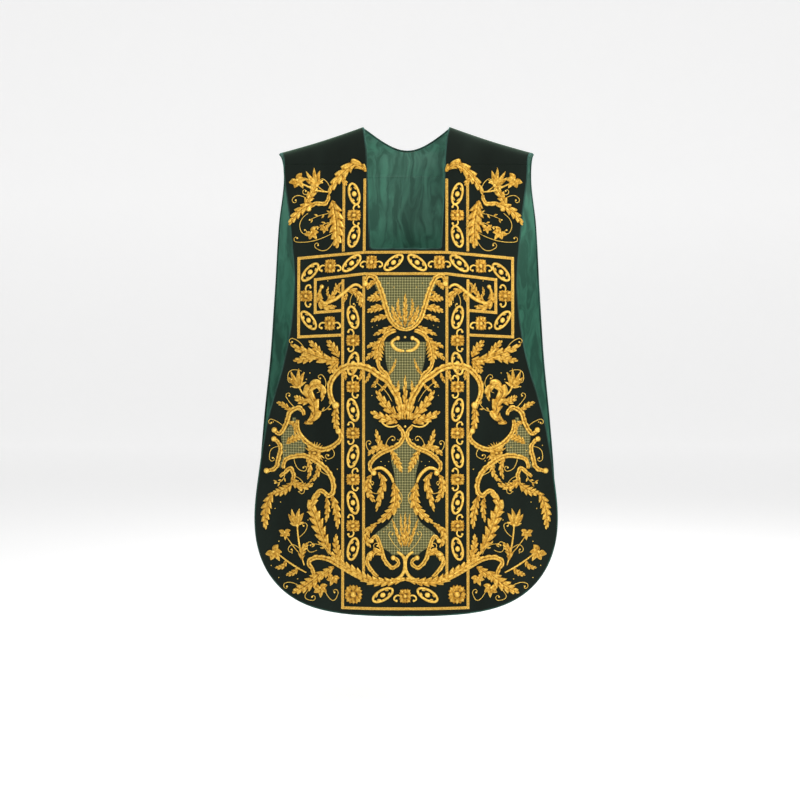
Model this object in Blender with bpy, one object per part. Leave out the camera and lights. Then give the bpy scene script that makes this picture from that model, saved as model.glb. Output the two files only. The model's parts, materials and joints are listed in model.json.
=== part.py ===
"""A Roman (fiddleback) chasuble: a shoulder yoke with a stiff front panel and a stiff back
panel hung from it, each a lay-up of velvet, canvas interlining and satin lining, with
piped edges, gold braids and lattice embroidery grounds.

Frame: the origin is the centre of the neck opening, a little under the shoulder crest.
+X is the wearer's left, -Y the front, +Z up.
"""

import math

import bmesh
import bpy

# Driving dimensions, in metres.
FRONT_LENGTH = 1.078
BACK_LENGTH = 1.108
WIDEST = 0.343
HEM_FLAT = 0.110

NECK_CREST = 0.097
NECK_DEPTH = 0.266
NECK_TOP = 0.086
NECK_FOOT = 0.077
NAPE_REACH = 0.0745
NAPE_STRAIGHT = 0.006

CREST_RISE = 0.016
SHOULDER_END = 0.291
SHOULDER_FALL = 0.062
CREST_FLAT = 0.012
FRONT_SEAM = (0.072, 0.078)
BACK_SEAM = (0.092, 0.085)
SEAM_GAP = 0.0005
CENTRE_GAP = 0.0004
SEAM_ANGLE = math.radians(89.9)

# Lay-up: how deep each cloth lies under the outer face, from and to.
VELVET = (0.0, 0.0015)
CANVAS = (0.0018, 0.0028)
SATIN = (0.0031, 0.0037)
APPLIQUE = (-0.0013, -0.0008)
BRAID = (-0.0018, -0.0008)

PIPING_RADIUS = 0.0022
PIPING_INSET = 0.0025
CLOTH_INSET = 0.0053
PIPING_DEPTH = 0.00185

# Braids: half widths from the centre line, and drops below the crest.
BRAID_WIDTH = 0.006
COLUMN_OUTER = 0.138
COLUMN_INNER = 0.0915
CROSS_OUTER = 0.238
CROSS_INNER = 0.200
BRAID_HEAD = 0.110
CROSS_TOP = 0.276
CROSS_BORDER = 0.048
CROSS_DROOP = 0.012
CROSS_FOOT = 0.459
CROSS_INNER_FOOT = 0.405
FOOT_DROOP = 0.004
COLUMN_HEAD = 0.337
INNER_BRAID_FOOT = 0.985
BASE_LINE = 1.060

# Half width of each panel at a drop below the crest, down to where the hem's corners start.
FRONT_SIDES = ((0.078, 0.274), (0.200, 0.261), (0.360, 0.250), (0.500, 0.269),
               (0.650, 0.312), (0.780, 0.3345), (0.870, WIDEST))
BACK_SIDES = ((0.085, SHOULDER_END), (0.200, 0.302), (0.360, 0.309), (0.500, 0.317),
              (0.650, 0.331), (0.780, 0.3405), (0.890, WIDEST))

# How a panel swells from its seam: over what drop, and at what half width its curl is read.
SWELL_DROP = 0.36
CURL_WIDTH = 0.3
FRONT_BOW, FRONT_CURL = 0.056, 0.068
BACK_BOW, BACK_CURL = 0.045, 0.080

# The hem's corners follow an oval with these powers, down then across.
HEM_DOWN, HEM_ACROSS = 2.2, 3.8
HEM_STEPS = 5

# Grid rows down a panel: above the foot of the neck cut, and from there to the hem's corners.
NECK_ROWS = 5
SIDE_ROWS = 9
BACK_MIDDLE = 0.09

# Lattice grounds: (drop, from, to) down each ground's length.
BELL = ((0.331, -0.072, 0.072), (0.365, -0.061, 0.061), (0.403, -0.046, 0.046),
        (0.425, -0.030, 0.030), (0.443, -0.012, 0.012))
MIDDLE = ((0.474, -0.046, 0.046), (0.513, -0.043, 0.043), (0.541, -0.037, 0.037),
          (0.578, -0.026, 0.026))
VASE = ((0.691, -0.014, 0.014), (0.724, -0.031, 0.031), (0.766, -0.024, 0.024),
        (0.842, -0.022, 0.022), (0.872, -0.036, 0.036), (0.899, -0.067, 0.067),
        (0.924, -0.052, 0.052), (0.942, -0.030, 0.030))
SIDE = ((0.642, 0.244, 0.252), (0.661, 0.240, 0.260), (0.683, 0.231, 0.278),
        (0.700, 0.222, 0.277), (0.713, 0.222, 0.275), (0.726, 0.232, 0.275),
        (0.736, 0.260, 0.277), (0.755, 0.273, 0.283))
SHIELD = ((0.190, -0.014, 0.014), (0.242, -0.052, 0.052), (0.305, -0.060, 0.060),
          (0.368, -0.040, 0.040), (0.400, -0.012, 0.012))
HEART = ((0.450, -0.014, 0.014), (0.498, -0.052, 0.052), (0.555, -0.060, 0.060),
         (0.612, -0.040, 0.040), (0.640, -0.012, 0.012))

# Linear colour, roughness and metallic of each finish.
FINISHES = {
    "velvet": ((0.013, 0.026, 0.019), 0.90, 0.0),
    "interlining": ((0.480, 0.420, 0.300), 0.95, 0.0),
    "satin": ((0.045, 0.188, 0.114), 0.40, 0.0),
    "piping": ((0.021, 0.080, 0.061), 0.70, 0.0),
    "braid": ((0.578, 0.305, 0.026), 0.45, 0.6),
    "lattice": ((0.114, 0.114, 0.026), 0.70, 0.2),
}


class Panel:
    """One hanging panel. side is -1 for the front and +1 for the back."""

    def __init__(self, side, seam, length, sides, bow, curl):
        self.side = side
        self.seam_reach, self.seam_drop = seam
        self.length = length
        self.sides = sides
        self.bow = bow
        self.curl = curl

    def reach(self, x, drop):
        """How far the outer face stands from the XZ plane at x and a drop below the crest."""
        share = min(max((drop - self.seam_drop) / SWELL_DROP, 0.0), 1.0)
        swell = share * share * (3.0 - 2.0 * share)
        return self.seam_reach + swell * (self.bow - self.curl * (x / CURL_WIDTH) ** 2)

    def point(self, x, drop, depth):
        return (x, self.side * (self.reach(x, drop) - depth), -drop)

    def side_levels(self):
        """Drops of the grid rows along the sides, shared by every piece of the panel."""
        top = self.seam_drop + SEAM_GAP
        corner = self.sides[-1][0]
        upper = spaced(top, NECK_DEPTH, NECK_ROWS)
        return upper + spaced(NECK_DEPTH, corner, SIDE_ROWS)[1:]

    def outline(self, inset):
        """(half width, drop) down one side and round the hem's corner, inset from the edge."""
        corner = self.sides[-1][0]
        found = [(smooth_through(self.sides, d) - inset, d) for d in self.side_levels()]
        for turn in spaced(0.0, math.pi / 2, HEM_STEPS)[1:-1]:
            share = math.sin(turn)
            width = (WIDEST - inset) * (1.0 - share ** HEM_DOWN) ** (1 / HEM_ACROSS)
            found.append((width, corner + (self.length - corner - inset) * share))
        return [*found, (HEM_FLAT, self.length - inset)]


FRONT = Panel(-1, FRONT_SEAM, FRONT_LENGTH, FRONT_SIDES, FRONT_BOW, FRONT_CURL)
BACK = Panel(1, BACK_SEAM, BACK_LENGTH, BACK_SIDES, BACK_BOW, BACK_CURL)


def spaced(start, end, steps):
    """Even steps from start to end, both included."""
    return [start + (end - start) * i / steps for i in range(steps + 1)]


def smooth_through(knots, at):
    """A smooth curve through (place, value) knots, read at one place."""
    places = [k[0] for k in knots]
    values = [k[1] for k in knots]
    i = max(j for j in range(len(knots) - 1) if places[j] <= max(at, places[0]))
    slopes = []
    for j in range(len(knots)):
        a, b = max(j - 1, 0), min(j + 1, len(knots) - 1)
        slopes.append((values[b] - values[a]) / (places[b] - places[a]))
    slopes[0] = slopes[-1] = 0.0
    step = places[i + 1] - places[i]
    t = (at - places[i]) / step
    rise = values[i + 1] - values[i]
    bend = slopes[i] * step * t * (1 - t) ** 2 - slopes[i + 1] * step * t * t * (1 - t)
    return values[i] + rise * t * t * (3 - 2 * t) + bend


def clear_scene():
    for obj in list(bpy.data.objects):
        bpy.data.objects.remove(obj, do_unlink=True)


def make_material(name):
    colour, roughness, metallic = FINISHES[name]
    material = bpy.data.materials.new(name)
    material.use_nodes = True
    shader = material.node_tree.nodes["Principled BSDF"]
    shader.inputs["Base Color"].default_value = (*colour, 1.0)
    shader.inputs["Roughness"].default_value = roughness
    shader.inputs["Metallic"].default_value = metallic
    material.diffuse_color = (*colour, 1.0)
    return material


def make_joint_empty(name, place):
    empty = bpy.data.objects.new(name, None)
    empty.location = place
    bpy.context.collection.objects.link(empty)
    return empty


def finish_object(obj, parent, material):
    """Link an object whose points are in the model's frame, under the empty on its joint."""
    bpy.context.collection.objects.link(obj)
    obj.data.materials.append(material)
    obj.parent = parent
    obj.matrix_parent_inverse = parent.matrix_world.inverted()
    return obj


def closed_sheet(name, outer, inner, cells, parent, material):
    """A solid between two grids of points: outer[key] and inner[key], with cells of 3 keys."""
    mesh = bmesh.new()
    keys = sorted({key for cell in cells for key in cell})
    above = {key: mesh.verts.new(outer[key]) for key in keys}
    below = {key: mesh.verts.new(inner[key]) for key in keys}
    edges = set()
    for a, b, c in cells:
        mesh.faces.new((above[a], above[b], above[c]))
        mesh.faces.new((below[c], below[b], below[a]))
        edges.update(((a, b), (b, c), (c, a)))
    for start, end in sorted(edges):
        if (end, start) not in edges:
            mesh.faces.new((above[end], above[start], below[start]))
            mesh.faces.new((above[end], below[start], below[end]))
    bmesh.ops.recalc_face_normals(mesh, faces=mesh.faces)
    data = bpy.data.meshes.new(name)
    mesh.to_mesh(data)
    mesh.free()
    return finish_object(bpy.data.objects.new(name, data), parent, material)


def grid_cells(rows, columns, missing=()):
    """A grid's cells as triangles, all cut the same way so that stacked cloths stay apart."""
    cells = []
    for r in range(rows - 1):
        for c in range(columns - 1):
            if (r, c) not in missing:
                cells.append(((r, c), (r + 1, c), (r + 1, c + 1)))
                cells.append(((r, c), (r + 1, c + 1), (r, c + 1)))
    return cells


def piping(name, points, parent, material):
    """A round corded edging along points, closed at both ends."""
    curve = bpy.data.curves.new(name, "CURVE")
    curve.dimensions = "3D"
    curve.bevel_depth = PIPING_RADIUS
    curve.bevel_resolution = 1
    curve.use_fill_caps = True
    spline = curve.splines.new("POLY")
    spline.points.add(len(points) - 1)
    for place, point in zip(spline.points, points):
        place.co = (*point, 1.0)
    return finish_object(bpy.data.objects.new(name, curve), parent, material)


def neck_edge(drop):
    """Half width of the front panel's neck cut at a drop below the crest."""
    share = (drop - FRONT_SEAM[1]) / (NECK_DEPTH - FRONT_SEAM[1])
    return NECK_TOP + (NECK_FOOT - NECK_TOP) * min(share, 1.0)


def panel_columns(panel, half_width, drop, inset):
    """The x places of one grid row: side, middle and side blocks of four cells each."""
    middle = BACK_MIDDLE if panel is BACK else neck_edge(drop) + inset
    middle = min(middle, half_width * 0.6)
    right = [middle + (half_width - middle) * i / 4 for i in range(1, 5)]
    centre = [middle * i / 2 for i in range(-2, 3)]
    return [-x for x in reversed(right)] + centre + right


def panel_cloth(name, panel, depths, parent, material):
    """One cloth of a panel. The front panel's grid leaves out the neck cut's cells."""
    outline = panel.outline(CLOTH_INSET)
    outer, inner = {}, {}
    for r, (half_width, drop) in enumerate(outline):
        if panel is FRONT and r == NECK_ROWS:
            drop += CLOTH_INSET
        for c, x in enumerate(panel_columns(panel, half_width, drop, CLOTH_INSET)):
            outer[(r, c)] = panel.point(x, drop, depths[0])
            inner[(r, c)] = panel.point(x, drop, depths[1])
    cut = set()
    if panel is FRONT:
        cut = {(r, c) for r in range(NECK_ROWS) for c in range(4, 8)}
    cells = grid_cells(len(outline), 13, cut)
    return closed_sheet(name, outer, inner, cells, parent, material)


def hem_piping(name, panel, parent, material):
    """The piping down one side of a panel, round the hem and up the other side."""
    edge = panel.outline(PIPING_INSET)
    edge[0] = (edge[0][0], edge[0][1] + SEAM_GAP)
    right = [panel.point(w, d, PIPING_DEPTH) for w, d in edge]
    left = [panel.point(-w, d, PIPING_DEPTH) for w, d in edge]
    middle = [panel.point(HEM_FLAT * i / 3, edge[-1][1], PIPING_DEPTH) for i in (-2, -1, 0, 1, 2)]
    return piping(name, left + middle + right[::-1], parent, material)


def neck_piping(name, parent, material):
    """The piping down one side of the neck cut, across its foot and up the other side."""
    levels = FRONT.side_levels()[: NECK_ROWS + 1]
    levels[0] += SEAM_GAP
    levels[-1] += PIPING_INSET
    right = [FRONT.point(neck_edge(d) + PIPING_INSET, d, PIPING_DEPTH) for d in levels]
    left = [(-x, y, z) for x, y, z in right]
    foot = [FRONT.point(right[-1][0] * i / 3, levels[-1], PIPING_DEPTH) for i in (-2, -1, 0, 1, 2)]
    return piping(name, left + foot + right[::-1], parent, material)


def crest_height(x):
    """Height of the shoulder crest, level over the neck and falling straight to its end."""
    share = (abs(x) - NECK_CREST) / (SHOULDER_END - NECK_CREST)
    return CREST_RISE - SHOULDER_FALL * max(share, 0.0)


def shoulder_point(hand, x, side, angle, depth):
    """A point of a shoulder: side is -1 before the crest and +1 behind it."""
    reach, fall = FRONT_SEAM if side < 0 else BACK_SEAM
    fall -= SEAM_GAP
    slope = math.atan2(SHOULDER_FALL, SHOULDER_END - NECK_CREST)
    lean = slope if x > NECK_CREST else slope * max(x, 0.0) / NECK_CREST
    crest = crest_height(x)
    y = side * (CREST_FLAT + (reach - CREST_FLAT) * math.sin(angle))
    z = crest - (crest + fall) * (1.0 - math.cos(angle))
    out = math.cos(angle) * math.sin(lean)
    up = math.cos(angle) * math.cos(lean)
    size = math.sqrt(out * out + up * up + math.sin(angle) ** 2)
    return (
        hand * (x - depth * out / size),
        y - depth * side * math.sin(angle) / size,
        z - depth * up / size,
    )


def shoulder_rows(inset):
    """(side, angle, neck edge, shoulder end) of each grid row, from front seam to back seam."""
    rows = []
    for i in range(4, -1, -1):
        angle = math.radians(22.5 * i)
        neck = NECK_CREST - (NECK_CREST - NECK_TOP) * math.sin(angle) ** 2 + inset
        end = SHOULDER_END - (SHOULDER_END - FRONT_SIDES[0][1]) * math.sin(angle) - inset
        rows.append((-1, angle, neck, end))
    reach = BACK_SEAM[0] - CREST_FLAT
    closing = math.asin((NAPE_REACH + inset - CREST_FLAT) / reach)
    for share in (0.0, 0.3, 0.55, 0.75, 0.90, 1.0):
        angle = closing * share
        y = CREST_FLAT + reach * math.sin(angle)
        oval = math.sqrt(max(1.0 - (y / (NAPE_REACH + inset)) ** 2, 0.0))
        rows.append((1, angle, max((NECK_CREST + inset) * oval, CENTRE_GAP), SHOULDER_END - inset))
    for share in (0.5, 1.0):
        angle = closing + (math.pi / 2 - closing) * share
        rows.append((1, angle, CENTRE_GAP, SHOULDER_END - inset))
    return rows


def shoulder_cloth(name, hand, depths, parent, material):
    rows = shoulder_rows(CLOTH_INSET)
    columns = 7
    outer, inner = {}, {}
    for r, (side, angle, neck, end) in enumerate(rows):
        for c in range(columns):
            x = neck + (end - neck) * c / (columns - 1)
            outer[(r, c)] = shoulder_point(hand, x, side, angle, depths[0])
            inner[(r, c)] = shoulder_point(hand, x, side, angle, depths[1])
    return closed_sheet(name, outer, inner, grid_cells(len(rows), columns), parent, material)


def shoulder_piping(name, hand, at_neck, parent, material):
    """The piping along a shoulder's neck edge, or along its outer end."""
    rows = shoulder_rows(PIPING_INSET)
    points = []
    for side, angle, neck, end in rows[:-2] if at_neck else rows:
        x = max(neck, NAPE_STRAIGHT) if at_neck else end
        x, y, z = shoulder_point(hand, x, side, angle, PIPING_DEPTH)
        points.append((x, y, z + SEAM_GAP if angle > SEAM_ANGLE else z))
    if at_neck:
        points.append((hand * CENTRE_GAP, points[-1][1], points[-1][2]))
    return piping(name, points, parent, material)


def run_levels(panel, start, end):
    """The drops of a straight run, with every shared grid row that it passes."""
    low, high = sorted((start, end))
    inside = [d for d in panel.side_levels() if low + 0.004 < d < high - 0.004]
    run = [low, *inside, high]
    return run if start < end else run[::-1]


def braid_route(panel, corners):
    """(x, drop) points of a braid through its corners, close enough to follow the cloth."""
    route = [corners[0]]
    for (x0, d0), (x1, d1) in zip(corners, corners[1:]):
        if abs(d1 - d0) > abs(x1 - x0):
            for d in run_levels(panel, d0, d1)[1:]:
                route.append((x0 + (x1 - x0) * (d - d0) / (d1 - d0), d))
        else:
            steps = max(int(abs(x1 - x0) / 0.03), 1)
            for i in range(1, steps + 1):
                route.append((x0 + (x1 - x0) * i / steps, d0 + (d1 - d0) * i / steps))
    return route


def side_steps(route):
    """The mitred sideways step of each route point, half a braid wide."""
    steps = []
    for i, (x, d) in enumerate(route):
        before = route[max(i - 1, 0)]
        after = route[min(i + 1, len(route) - 1)]
        arrive = (x - before[0], d - before[1]) if i else (after[0] - x, after[1] - d)
        leave = (after[0] - x, after[1] - d) if i < len(route) - 1 else arrive
        a = math.atan2(arrive[1], arrive[0])
        turn = math.remainder(math.atan2(leave[1], leave[0]) - a, math.tau)
        half = 0.5 * BRAID_WIDTH / math.cos(turn / 2)
        steps.append((-half * math.sin(a + turn / 2), half * math.cos(a + turn / 2)))
    return steps


def braid(name, panel, corners, parent, material):
    """A flat woven braid laid on a panel's velvet."""
    route = braid_route(panel, corners)
    outer, inner = {}, {}
    for r, ((x, d), (across, down)) in enumerate(zip(route, side_steps(route))):
        for c, way in enumerate((-1, 1)):
            place = (x + way * across, d + way * down)
            outer[(r, c)] = panel.point(*place, BRAID[0])
            inner[(r, c)] = panel.point(*place, BRAID[1])
    return closed_sheet(name, outer, inner, grid_cells(len(route), 2), parent, material)


def lattice(name, panel, hand, shape, parent, material):
    """An applied ground of lattice work; shape gives its two edges at each drop."""
    levels = sorted({d for d, _, _ in shape} | set(run_levels(panel, shape[0][0], shape[-1][0])))
    outer, inner = {}, {}
    for r, drop in enumerate(levels):
        low = smooth_through([(d, a) for d, a, _ in shape], drop)
        high = smooth_through([(d, b) for d, _, b in shape], drop)
        for c in range(5):
            x = hand * (low + (high - low) * c / 4)
            outer[(r, c)] = panel.point(x, drop, APPLIQUE[0])
            inner[(r, c)] = panel.point(x, drop, APPLIQUE[1])
    return closed_sheet(name, outer, inner, grid_cells(len(levels), 5), parent, material)


def make_shoulders(root, materials):
    for hand, word in ((-1, "right"), (1, "left")):
        for cloth, depths in (("velvet", VELVET), ("interlining", CANVAS), ("lining", SATIN)):
            finish = materials["satin" if cloth == "lining" else cloth]
            shoulder_cloth(f"{word}_shoulder_{cloth}", hand, depths, root, finish)
        shoulder_piping(f"{word}_neck_piping", hand, True, root, materials["piping"])
        shoulder_piping(f"{word}_armhole_piping", hand, False, root, materials["piping"])


def make_panel(panel, word, joint, materials):
    panel_cloth(f"{word}_velvet", panel, VELVET, joint, materials["velvet"])
    panel_cloth(f"{word}_interlining", panel, CANVAS, joint, materials["interlining"])
    panel_cloth(f"{word}_lining", panel, SATIN, joint, materials["satin"])
    hem_piping(f"{word}_edge_piping", panel, joint, materials["piping"])


def make_front_trim(joint, materials):
    """The cross of braids on the front panel and its lattice grounds."""
    gold = materials["braid"]
    neck_piping("front_neck_piping", joint, materials["piping"])
    clear = 0.0005 + BRAID_WIDTH / 2
    for hand, word in ((-1, "right"), (1, "left")):
        for x, part in ((COLUMN_OUTER, "outer"), (COLUMN_INNER, "inner")):
            run = [(hand * x, BRAID_HEAD), (hand * x, CROSS_TOP - clear)]
            braid(f"{word}_breast_{part}_braid", FRONT, run, joint, gold)
        head = CROSS_TOP + CROSS_BORDER + BRAID_WIDTH / 2 + clear
        run = [(hand * COLUMN_INNER, head), (hand * COLUMN_INNER, INNER_BRAID_FOOT)]
        braid(f"{word}_column_inner_braid", FRONT, run, joint, gold)
    for word, end, foot, top in (
        ("outer", CROSS_OUTER, CROSS_FOOT, CROSS_TOP),
        ("inner", CROSS_INNER, CROSS_INNER_FOOT, CROSS_TOP + CROSS_BORDER),
    ):
        arm = [(COLUMN_OUTER + clear, foot), (end, foot + FOOT_DROOP)]
        arm += [(end, top + CROSS_DROOP), (COLUMN_INNER, top)]
        braid(f"cross_{word}_braid", FRONT, mirrored(arm), joint, gold)
    column = [(COLUMN_OUTER, COLUMN_HEAD), (COLUMN_OUTER, BASE_LINE)]
    braid("column_outer_braid", FRONT, mirrored(column), joint, gold)
    grounds = (
        ("bell_lattice", 1, BELL),
        ("middle_lattice", 1, MIDDLE),
        ("lower_lattice", 1, VASE),
        ("left_side_lattice", 1, SIDE),
        ("right_side_lattice", -1, SIDE),
    )
    for name, hand, shape in grounds:
        lattice(name, FRONT, hand, shape, joint, materials["lattice"])


def mirrored(right_half):
    """A route that comes in along the left half and goes back out along the right half."""
    return right_half + [(-x, d) for x, d in reversed(right_half)]


def make_back_trim(joint, materials):
    """The back's centre column of braids, with three lattice grounds."""
    gold = materials["braid"]
    outer = [(COLUMN_OUTER, BRAID_HEAD), (COLUMN_OUTER, BASE_LINE)]
    braid("back_column_outer_braid", BACK, mirrored(outer), joint, gold)
    for hand, word in ((-1, "right"), (1, "left")):
        run = [(hand * COLUMN_INNER, BRAID_HEAD), (hand * COLUMN_INNER, INNER_BRAID_FOOT)]
        braid(f"back_{word}_inner_braid", BACK, run, joint, gold)
    for word, shape in (("upper", SHIELD), ("middle", HEART), ("lower", VASE)):
        lattice(f"back_{word}_lattice", BACK, 1, shape, joint, materials["lattice"])


def main():
    clear_scene()
    materials = {name: make_material(name) for name in FINISHES}
    root = make_joint_empty("shoulder_rest", (0.0, 0.0, 0.0))
    front = make_joint_empty("front_lift", (0.0, -FRONT_SEAM[0], -FRONT_SEAM[1]))
    back = make_joint_empty("back_lift", (0.0, BACK_SEAM[0], -BACK_SEAM[1]))
    bpy.context.view_layer.update()
    make_shoulders(root, materials)
    make_panel(FRONT, "front", front, materials)
    make_front_trim(front, materials)
    make_panel(BACK, "back", back, materials)
    make_back_trim(back, materials)


main()
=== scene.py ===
"""A Roman (fiddleback) chasuble: the finished cloths, braids and raised gold embroidery.

The cloths follow the frame's own panels. The embroidery is drawn on one half of a panel,
in centimetres from the centre line and below the shoulder crest, and turned over for the
other half.
"""

import json
import math

import bmesh
import bpy
import numpy as np
from bpy.props import FloatProperty, FloatVectorProperty, PointerProperty
from bpy.types import Operator, Panel, PropertyGroup
from mathutils import Matrix, Vector


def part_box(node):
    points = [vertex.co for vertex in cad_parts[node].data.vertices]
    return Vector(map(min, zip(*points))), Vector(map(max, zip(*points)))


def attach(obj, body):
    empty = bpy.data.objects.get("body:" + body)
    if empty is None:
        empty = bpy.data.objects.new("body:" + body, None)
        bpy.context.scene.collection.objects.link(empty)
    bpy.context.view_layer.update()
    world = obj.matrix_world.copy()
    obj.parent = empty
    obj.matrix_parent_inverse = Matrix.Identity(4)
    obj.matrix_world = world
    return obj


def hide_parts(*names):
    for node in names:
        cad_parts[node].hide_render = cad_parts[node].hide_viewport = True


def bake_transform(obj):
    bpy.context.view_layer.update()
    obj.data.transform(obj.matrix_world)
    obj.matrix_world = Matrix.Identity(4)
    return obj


bl_info = {
    "name": "Chasuble",
    "version": (1, 0, 0),
    "blender": (4, 5, 0),
    "location": "3D View > Sidebar > Chasuble",
    "description": "Builds a fiddleback chasuble with raised gold embroidery",
    "category": "Add Mesh",
}

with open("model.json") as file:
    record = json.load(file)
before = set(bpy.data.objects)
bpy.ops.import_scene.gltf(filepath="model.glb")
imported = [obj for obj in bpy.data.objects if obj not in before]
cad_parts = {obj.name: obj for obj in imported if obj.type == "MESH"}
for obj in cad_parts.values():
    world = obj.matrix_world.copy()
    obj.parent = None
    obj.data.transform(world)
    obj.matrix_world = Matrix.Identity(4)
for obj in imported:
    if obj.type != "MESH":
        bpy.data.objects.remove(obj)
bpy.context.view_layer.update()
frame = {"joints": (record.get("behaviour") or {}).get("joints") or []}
JOINTS = {joint["name"]: joint for joint in frame["joints"]}
MM = 0.001
CM = 0.01

# Sizes read from the frame, in metres.
FRONT_SEAM = (-JOINTS["front_lift"]["pos_m"][1], -JOINTS["front_lift"]["pos_m"][2])
BACK_SEAM = (JOINTS["back_lift"]["pos_m"][1], -JOINTS["back_lift"]["pos_m"][2])
FRONT_LENGTH = -float(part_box("front_edge_piping")[0][2]) - 0.0003
BACK_LENGTH = -float(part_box("back_edge_piping")[0][2]) - 0.0003
WIDEST = 0.343
CREST_RISE = 0.016
SHOULDER_END = 0.291
SHOULDER_FALL = 0.062

# The neck opening: half widths at the crest, the seam and the foot, and its drop.
NECK_CREST = 0.097
NECK_DEPTH = 0.266
NECK_TOP = 0.086
NECK_FOOT = 0.077
NECK_CORNER = 0.005
NAPE_REACH = 0.0745

# How the cloth is laid: the half depth of the level crest, the gaps at the seams and the
# height over which a panel swells.
CREST_FLAT = 0.012
SEAM_GAP = 0.00005
CENTRE_GAP = 0.00002
SWELL_DROP = 0.36

# A panel's grid: the half width of its middle block below the neck cut, the height over
# which the block widens to that, and the cells across a side block and the middle one.
MIDDLE_BLOCK = 0.09
NECK_MEET = 0.06
SIDE_CELLS, MIDDLE_CELLS = 16, 14

# An edging's points: how far below the seam they start, and their spacing at first.
CORD_START = 0.0004
CORD_STEP = 0.003

# How far the floor reaches on every side.
STAGE_REACH = 12.0

# Layers of the cloth, as depths below its outer face, and how far each stays inside the
# outline.
VELVET = (0.0, 0.0015)
CANVAS = (0.0018, 0.0028)
SATIN = (0.0031, 0.0037)
CLOTH_INSET = 0.0035
PIPING_INSET = 0.0025
PIPING_DEPTH = 0.00185

# The cross of braids: half widths and drops below the crest.
COLUMN_OUTER = 0.138
COLUMN_INNER = 0.0915
CROSS_OUTER = 0.238
CROSS_INNER = 0.200
BRAID_HEAD = 0.110
CROSS_TOP = 0.276
CROSS_BORDER = 0.048
CROSS_DROOP = 0.012
CROSS_FOOT = 0.459
CROSS_INNER_FOOT = 0.405
FOOT_DROOP = 0.004
COLUMN_HEAD = 0.337
INNER_BRAID_FOOT = 0.985
BASE_LINE = 1.060

# Outlines of the panels: (drop, half width).
FRONT_SIDES = ((0.078, 0.274), (0.200, 0.261), (0.360, 0.250), (0.500, 0.269),
               (0.650, 0.312), (0.780, 0.3345), (0.870, WIDEST))
BACK_SIDES = ((0.085, 0.291), (0.200, 0.302), (0.360, 0.309), (0.500, 0.317),
              (0.650, 0.331), (0.780, 0.3405), (0.890, WIDEST))

# Scallops and stripes of the broad ribbons.
SCALLOP = 0.0145
STRIPE = 0.0048

# The hook at each end of a rosette: (across, along) in millimetres from its middle.
HOOK = ((0, 11), (-1.5, 17), (2, 23), (8, 24), (10.5, 19))

# Lattice grounds: (drop, from, to) in centimetres.
BELL = ((33.1, -7.2, 7.2), (36.5, -6.1, 6.1), (40.3, -4.6, 4.6), (42.5, -3.0, 3.0),
        (44.3, -1.2, 1.2))
MIDDLE = ((47.4, -4.6, 4.6), (51.3, -4.3, 4.3), (54.1, -3.7, 3.7), (57.8, -2.6, 2.6))
VASE = ((69.1, -1.4, 1.4), (72.4, -3.1, 3.1), (76.6, -2.4, 2.4), (84.2, -2.2, 2.2),
        (87.2, -3.6, 3.6), (89.9, -6.7, 6.7), (92.4, -5.2, 5.2), (94.2, -3.0, 3.0))
SIDE = ((64.2, 24.4, 25.2), (66.1, 24.0, 26.0), (68.3, 23.1, 27.8), (70.0, 22.2, 27.7),
        (71.3, 22.2, 27.5), (72.6, 23.2, 27.5), (73.6, 26.0, 27.7), (75.5, 27.3, 28.3))
BACK_SHIELD = ((19.0, -1.4, 1.4), (24.2, -5.2, 5.2), (30.5, -6.0, 6.0), (36.8, -4.0, 4.0),
               (40.0, -1.2, 1.2))
BACK_HEART = ((45.0, -1.4, 1.4), (49.8, -5.2, 5.2), (55.5, -6.0, 6.0), (61.2, -4.0, 4.0),
              (64.0, -1.2, 1.2))


# Designs, in centimetres from the centre line and below the shoulder crest:
# (kind, size in millimetres, count, points).
BREAST = (
    ("leaf", 29.8, 5, ((8.8, 9.4), (11.3, 7.8), (14.1, 9.7), (16.4, 12.8), (17.2, 14.6))),
    ("leaf", 16, 2, ((14.8, 10.8), (13.9, 11.4), (13.3, 12.5))),
    ("leaf", 42, 5, ((16.4, 15.8), (15.7, 18.9), (15.3, 22), (15.3, 26.6))),
    ("stem", 10.5, 1, ((17.2, 14.6), (17.9, 16.5), (20.3, 16.6), (21.6, 17.8))),
    ("leaf", 25.9, 4, ((20.3, 16.7), (23.1, 17.8), (26.1, 21.3))),
    ("leaf", 24.1, 3, ((22.5, 17.4), (21.4, 15), (19.8, 12.5))),
    ("stem", 4.8, 0, ((17, 13.9), (19.6, 13.6), (22.3, 12.5), (23.8, 11.7))),
    ("curl", 2.6, 1, ((19.2, 13.6), (20.9, 14.3), (22.5, 14.5))),
    ("tulip", 21.6, 0, ((19.8, 12.5), (21.4, 8.8))),
    ("stem", 3.6, 0, ((17.9, 13.9), (19, 13.2), (19.8, 12.5))),
    ("curl", 2.6, 1, ((16.8, 13.4), (17.6, 11.7), (18.5, 11))),
    ("flower", 30.4, 6, ((24.3, 11.2),)),
    ("flower", 26.6, 6, ((21, 23),)),
    ("flower", 19, 5, ((18.1, 21.9),)),
    ("spray", 9.5, 5, ((15.9, 20.9), (17.4, 20.9), (19.6, 22.2))),
    ("curl", 2.6, 1, ((16.1, 23.1), (20.5, 24.9), (24.5, 25.1))),
    ("curl", 2.6, 1, ((15.9, 24.9), (17.9, 27.1), (20.1, 26.4))),
    ("curl", 2.6, 1, ((21.8, 18.7), (23.6, 20.9), (23.1, 23.1))),
    ("curl", 2.6, 1, ((21.2, 16.1), (24, 14.7), (25.3, 15.4))),
    ("spray", 9.5, 4, ((15.9, 18.7), (18.7, 19.1), (21.4, 20.2))),
)

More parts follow.
